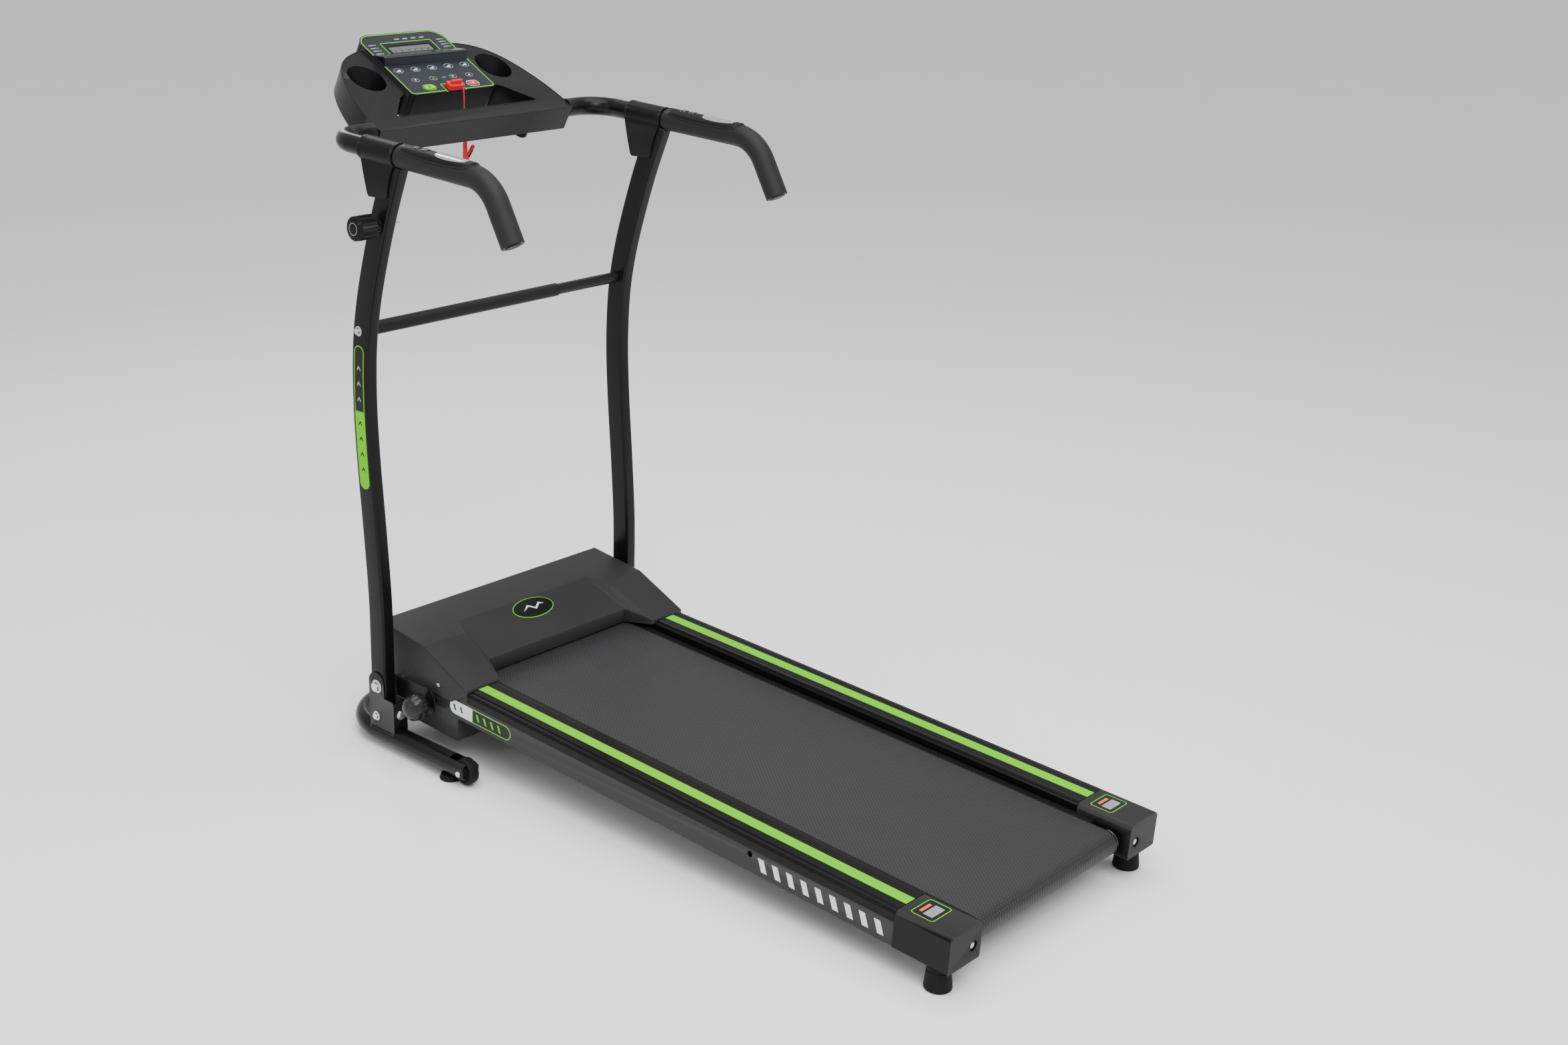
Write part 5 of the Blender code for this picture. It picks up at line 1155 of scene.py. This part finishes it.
def build_end_caps():
    """Moulded end caps with a lowered inner shoulder, a recessed hole and a small sticker."""
    low, high, length = -0.0605, -0.0008, 0.0955
    section = [(RAIL_INNER + 0.002, low), (RAIL_OUTER - 0.002, low), (RAIL_OUTER, low + 0.002),
               (RAIL_OUTER, high - 0.007), (RAIL_OUTER - 0.0050, high - 0.0012),
               (RAIL_OUTER - 0.0085, high), (RAIL_INNER + 0.0090, high),
               (RAIL_INNER + 0.0040, high - 0.0022), (RAIL_INNER, high - 0.0080), (RAIL_INNER, low + 0.002)]
    cap = plate([section], "Y", 0.0, length)
    pocket = box((0.2320, 0.0060, -0.0590), (0.2688, 0.12, -0.0057))
    bay = box((0.1985, 0.0040, -0.0565), (0.2290, 0.12, -0.0070))
    slot = box((0.19, 0.0215, ROLLER_Z - 0.0066), (0.20, 0.0450, ROLLER_Z + 0.0066))
    hole = rod((0.2135, -0.01, ROLLER_Z), (0.2135, 0.01, ROLLER_Z), 0.0050)
    sink = rod((0.2135, -0.01, ROLLER_Z), (0.2135, 0.0016, ROLLER_Z), 0.0085)
    groove = box((RAIL_INNER - 0.01, length - 0.0040, low - 0.01),
                 (RAIL_OUTER + 0.01, length - 0.0030, low + 0.0008))
    cap = cut(cap, pocket, bay, slot, hole, sink, groove)
    deck_pair("end_cap_skin", cap, "end_cap_plastic", "end_cap", "end_cap", edge=0.0009)
    foot = turned([(0.0, 0.0), (0.0, 0.0170), (0.0016, 0.0200), (0.0036, 0.0205), (0.0090, 0.0200),
                   (0.0300, 0.0178), (0.0310, 0.0168), (0.0330, 0.0168), (0.0345, 0.0176), (0.0410, 0.0172),
                   (0.0410, 0.0)][::-1], (0.2470, 0.0330, 0.0), "Z")
    finish_pair("rear_foot_skin", foot, FLOOR_FRAME, "deck", "foot_rubber", "rubber", "rear_foot",
                edge=0.0004)

    outline = rectangle((0.2062, 0.0430), (0.2548, 0.0820), 0.005)
    base = high + 0.00005
    stickers = (("rim", [outline], "lime", 0), ("field", [inset(outline, 0.0014)], "badge", 1),
                ("block", [rectangle((0.2150, 0.0500), (0.2460, 0.0660), 0.001)], "pale", 2),
                ("bar", [rectangle((0.2180, 0.0700), (0.2430, 0.0750), 0.001)], "orange", 2))
    for name, outlines, look, level in stickers:
        sheet = plate(outlines, "Z", base + level * 0.00007, base + level * 0.00007 + 0.0001)
        deck_pair("sticker_" + name, sheet, "end_cap_plastic", look, edge=0)


def build_belt():
    ends = (REAR_ROLLER_Y, ROLLER_Z), (FRONT_ROLLER_Y, ROLLER_Z)
    inner_r = ROLLER_R + GAP
    outer = stadium(*ends, inner_r + BELT_THICK, 32)
    belt = plate([outer, stadium(*ends, inner_r, 32)], "X", -BELT_HALF, BELT_HALF)
    deck_piece("running_belt_skin", belt, "belt_fabric", "belt", "running_belt", edge=0.0004, angle=20)
    for name, side in (("left", -1), ("right", 1)):
        hem_x = side * (BELT_HALF - 0.0016)
        outline = stadium(*ends, inner_r + BELT_THICK + 0.00015, 32)
        hem = plate([outline, inset(outline, 0.0003)], "X", hem_x - 0.0012, hem_x + 0.0012)
        deck_piece(name + "_belt_hem", hem, "belt_fabric", "rubber", edge=0, angle=20)
    profile = [(-0.185, 0.0063), (-0.185, 0.0165), (-0.1842, ROLLER_R), (0.1842, ROLLER_R),
               (0.185, 0.0165), (0.185, 0.0063)]
    roller = turned(profile, (0.0, REAR_ROLLER_Y, ROLLER_Z), "X", 64)
    finish("rear_roller_skin", roller, DECK_FRAME, "rear_roller", "roller_steel", "steel", "rear_roller",
           edge=0.0003)


# ---------------------------------------------------------------- motor hood
def hood_surface():
    top_z, crease_z, tongue_z = 0.0575, 0.0478, 0.0509
    points = {
        "front_mid": (0.0, 1.2384, top_z), "front_side": (RAIL_OUTER, 1.2384, top_z),
        "foot_mid": (0.0, 1.2465, -0.0300), "foot_side": (RAIL_OUTER, 1.2465, -0.0300),
        "crease_side": (RAIL_OUTER, 1.1152, crease_z), "crease_in": (0.1763, 1.1122, crease_z),
        "tongue_side": (0.1598, 1.1520, tongue_z), "tongue_mid": (0.0, 1.1520, tongue_z),
        "edge_side": (0.1702, 1.0551, 0.0150), "edge_mid": (0.0, 1.0551, 0.0150),
        "lip_side": (0.1712, 1.0575, -0.0122), "lip_mid": (0.0, 1.0575, -0.0122),
        "wing_out": (RAIL_OUTER, 1.0030, 0.0030), "wing_in": (0.1915, 1.0030, 0.0030),
        "heel_out": (RAIL_OUTER, 1.0030, -0.0055), "heel_in": (0.1915, 1.0030, -0.0055),
        "skirt_rear": (RAIL_OUTER, 1.0400, -0.0300),
    }
    faces = [
        ("front_mid", "foot_mid", "foot_side", "front_side"),
        ("front_mid", "front_side", "crease_side", "crease_in", "tongue_side", "tongue_mid"),
        ("tongue_mid", "tongue_side", "edge_side", "edge_mid"),
        ("edge_mid", "edge_side", "lip_side", "lip_mid"),
        ("crease_in", "crease_side", "wing_out", "wing_in"),
        ("wing_in", "wing_out", "heel_out", "heel_in"),
        ("tongue_side", "crease_in", "wing_in", "edge_side"),
        ("edge_side", "wing_in", "heel_in", "lip_side"),
        ("front_side", "foot_side", "skirt_rear", "heel_out", "wing_out", "crease_side"),
    ]
    bm = bmesh.new()
    for side in (1, -1):
        corners = {}
        for name, (x, y, z) in points.items():
            corners[name] = bm.verts.new((x * side, y, z))
        for face in faces:
            bm.faces.new([corners[name] for name in face[::side]])
    bmesh.ops.remove_doubles(bm, verts=bm.verts[:], dist=0.00001)
    bmesh.ops.triangulate(bm, faces=bm.faces[:])
    bmesh.ops.recalc_face_normals(bm, faces=bm.faces[:])
    top = max(bm.faces, key=lambda face: face.calc_center_median().z)
    if top.normal.z < 0:
        bmesh.ops.reverse_faces(bm, faces=bm.faces[:])
    return mesh_object(bm)


def build_hood():
    hood = hood_surface()
    soften = hood.modifiers.new("soften", "BEVEL")
    soften.width = 0.0035
    soften.segments = 4
    soften.limit_method = "ANGLE"
    soften.angle_limit = math.radians(8)
    thicken(hood, 0.0018)
    deck_piece("motor_hood_skin", joined([hood]), "hood_plastic", "hood", "motor_hood", edge=0, angle=40)
    screw_y, screw_z = 1.0760, -0.0120
    head = turned([(RAIL_OUTER, 0.0), (RAIL_OUTER, 0.0042), (RAIL_OUTER + 0.0008, 0.0041),
                   (RAIL_OUTER + 0.0018, 0.0028), (RAIL_OUTER + 0.0020, 0.0)],
                  (0.0, screw_y, screw_z), "X", 32)
    cross = [box((RAIL_OUTER + 0.0012, screw_y - a, screw_z - b),
                 (RAIL_OUTER + 0.003, screw_y + a, screw_z + b))
             for a, b in ((0.0022, 0.0004), (0.0004, 0.0022))]
    deck_pair("hood_screw", cut(head, *cross), "zinc", "zinc", edge=0)

    slope = math.atan2(0.0509 - 0.0150, 1.1520 - 1.0551)
    middle = Vector((0.0, 1.1265, 0.0509 - (1.1520 - 1.1265) * math.tan(slope)))
    lie = Matrix.Translation(middle) @ Matrix.Rotation(slope, 4, "X")
    layers = (("badge_plate", [ellipse((0, 0), 0.0465, 0.0245)], 0.0001, 0.0012, "lime"),
              ("badge_field", [ellipse((0, 0), 0.0450, 0.0230)], 0.0012, 0.0016, "badge"),
              ("badge_wave", [[(-0.026, -0.004), (-0.008, 0.009), (0.004, -0.002), (0.018, 0.008),
                               (0.027, 0.001), (0.018, 0.0035), (0.004, -0.0065), (-0.008, 0.0045)][::-1]],
               0.0016, 0.0018, "white"))
    for name, outlines, low, high, look in layers:
        sheet = plate(outlines, "Z", low, high)
        sheet.data.transform(lie)
        deck_piece("hood_" + name, sheet, "hood_plastic", look, edge=0.0003 if name == "badge_plate" else 0)


# ---------------------------------------------------------------- the CAD pieces that stay
KEPT = {
    "deck_frame": "paint", "deck_board": "board", "front_shaft": "steel", "rear_shaft": "steel",
    "front_roller": "steel", "drive_motor": "motor", "motor_flywheel": "steel", "drive_belt": "rubber",
    "belly_pan": "paint", "motor_controller": "sheet", "circuit_board": "laminate",
    "power_inlet": "moulded", "power_switch": "red",
}


def dress_kept_nodes():
    for name, look in KEPT.items():
        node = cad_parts[name]
        node.data.materials.clear()
        node.data.materials.append(LOOKS[look])


# ---------------------------------------------------------------- stage, lights and camera
CAMERA_PLACE = Vector((-2.2694, -1.3249, 1.5132))
CAMERA_RIGHT = Vector((0.72050, -0.69343, -0.00644))
CAMERA_UP = Vector((0.22848, 0.22861, 0.94633))
CAMERA_BACK = Vector((-0.65474, -0.68330, 0.32315))
CAMERA_LENS, CAMERA_SHIFT = 44.95, (0.1413, -0.0038)


def build_camera():
    data = bpy.data.cameras.new("view")
    data.lens = CAMERA_LENS
    data.sensor_width = 36.0
    data.shift_x, data.shift_y = CAMERA_SHIFT
    camera = linked("view", data)
    turn = Matrix((CAMERA_RIGHT, CAMERA_UP, CAMERA_BACK)).transposed().to_4x4()
    camera.matrix_world = Matrix.Translation(CAMERA_PLACE + SHIFT) @ turn
    bpy.context.scene.camera = camera


def area_light(name, place, target, size, power):
    data = bpy.data.lights.new(name, "AREA")
    data.shape = "RECTANGLE"
    data.size, data.size_y = size
    data.energy = power
    light = linked(name, data)
    light.location = place
    light.rotation_euler = (Vector(target) - Vector(place)).to_track_quat("-Z", "Y").to_euler()


def build_stage():
    bm = bmesh.new()
    bmesh.ops.create_grid(bm, x_segments=1, y_segments=1, size=60.0)
    floor = mesh_object(bm)
    floor.name = "floor"
    floor.location.z = -0.0002
    floor.data.materials.append(material("pale floor", (0.86, 0.86, 0.86), 0.65, second=(0.89, 0.89, 0.89),
                                         patch=(2.0, 0.05), grain=(300.0, 0.05, 0.0005)))
    world = bpy.data.worlds.new("studio")
    world.use_nodes = True
    world.node_tree.nodes["Background"].inputs["Color"].default_value = (1.0, 1.0, 1.0, 1.0)
    world.node_tree.nodes["Background"].inputs["Strength"].default_value = 0.85
    bpy.context.scene.world = world
    area_light("key", (-1.6, -2.4, 3.4), (0.0, 0.0, 0.4), (2.4, 2.4), 150)
    area_light("top", (0.0, -0.2, 3.6), (0.0, 0.0, 0.3), (3.4, 2.4), 120)
    area_light("strip", (0.9, 2.6, 2.2), (0.0, 0.5, 0.6), (0.25, 1.6), 14)
    area_light("side", (-3.2, 0.8, 1.4), (0.0, 0.1, 0.5), (0.8, 2.2), 14)


build_camera()
build_safety_key()
build_base()
build_uprights()
build_fold_lock()
build_upper_lock()
build_handlebars()
build_tray()
build_module()
build_keys()
build_rails()
build_end_caps()
build_belt()
build_hood()
dress_kept_nodes()
build_stage()
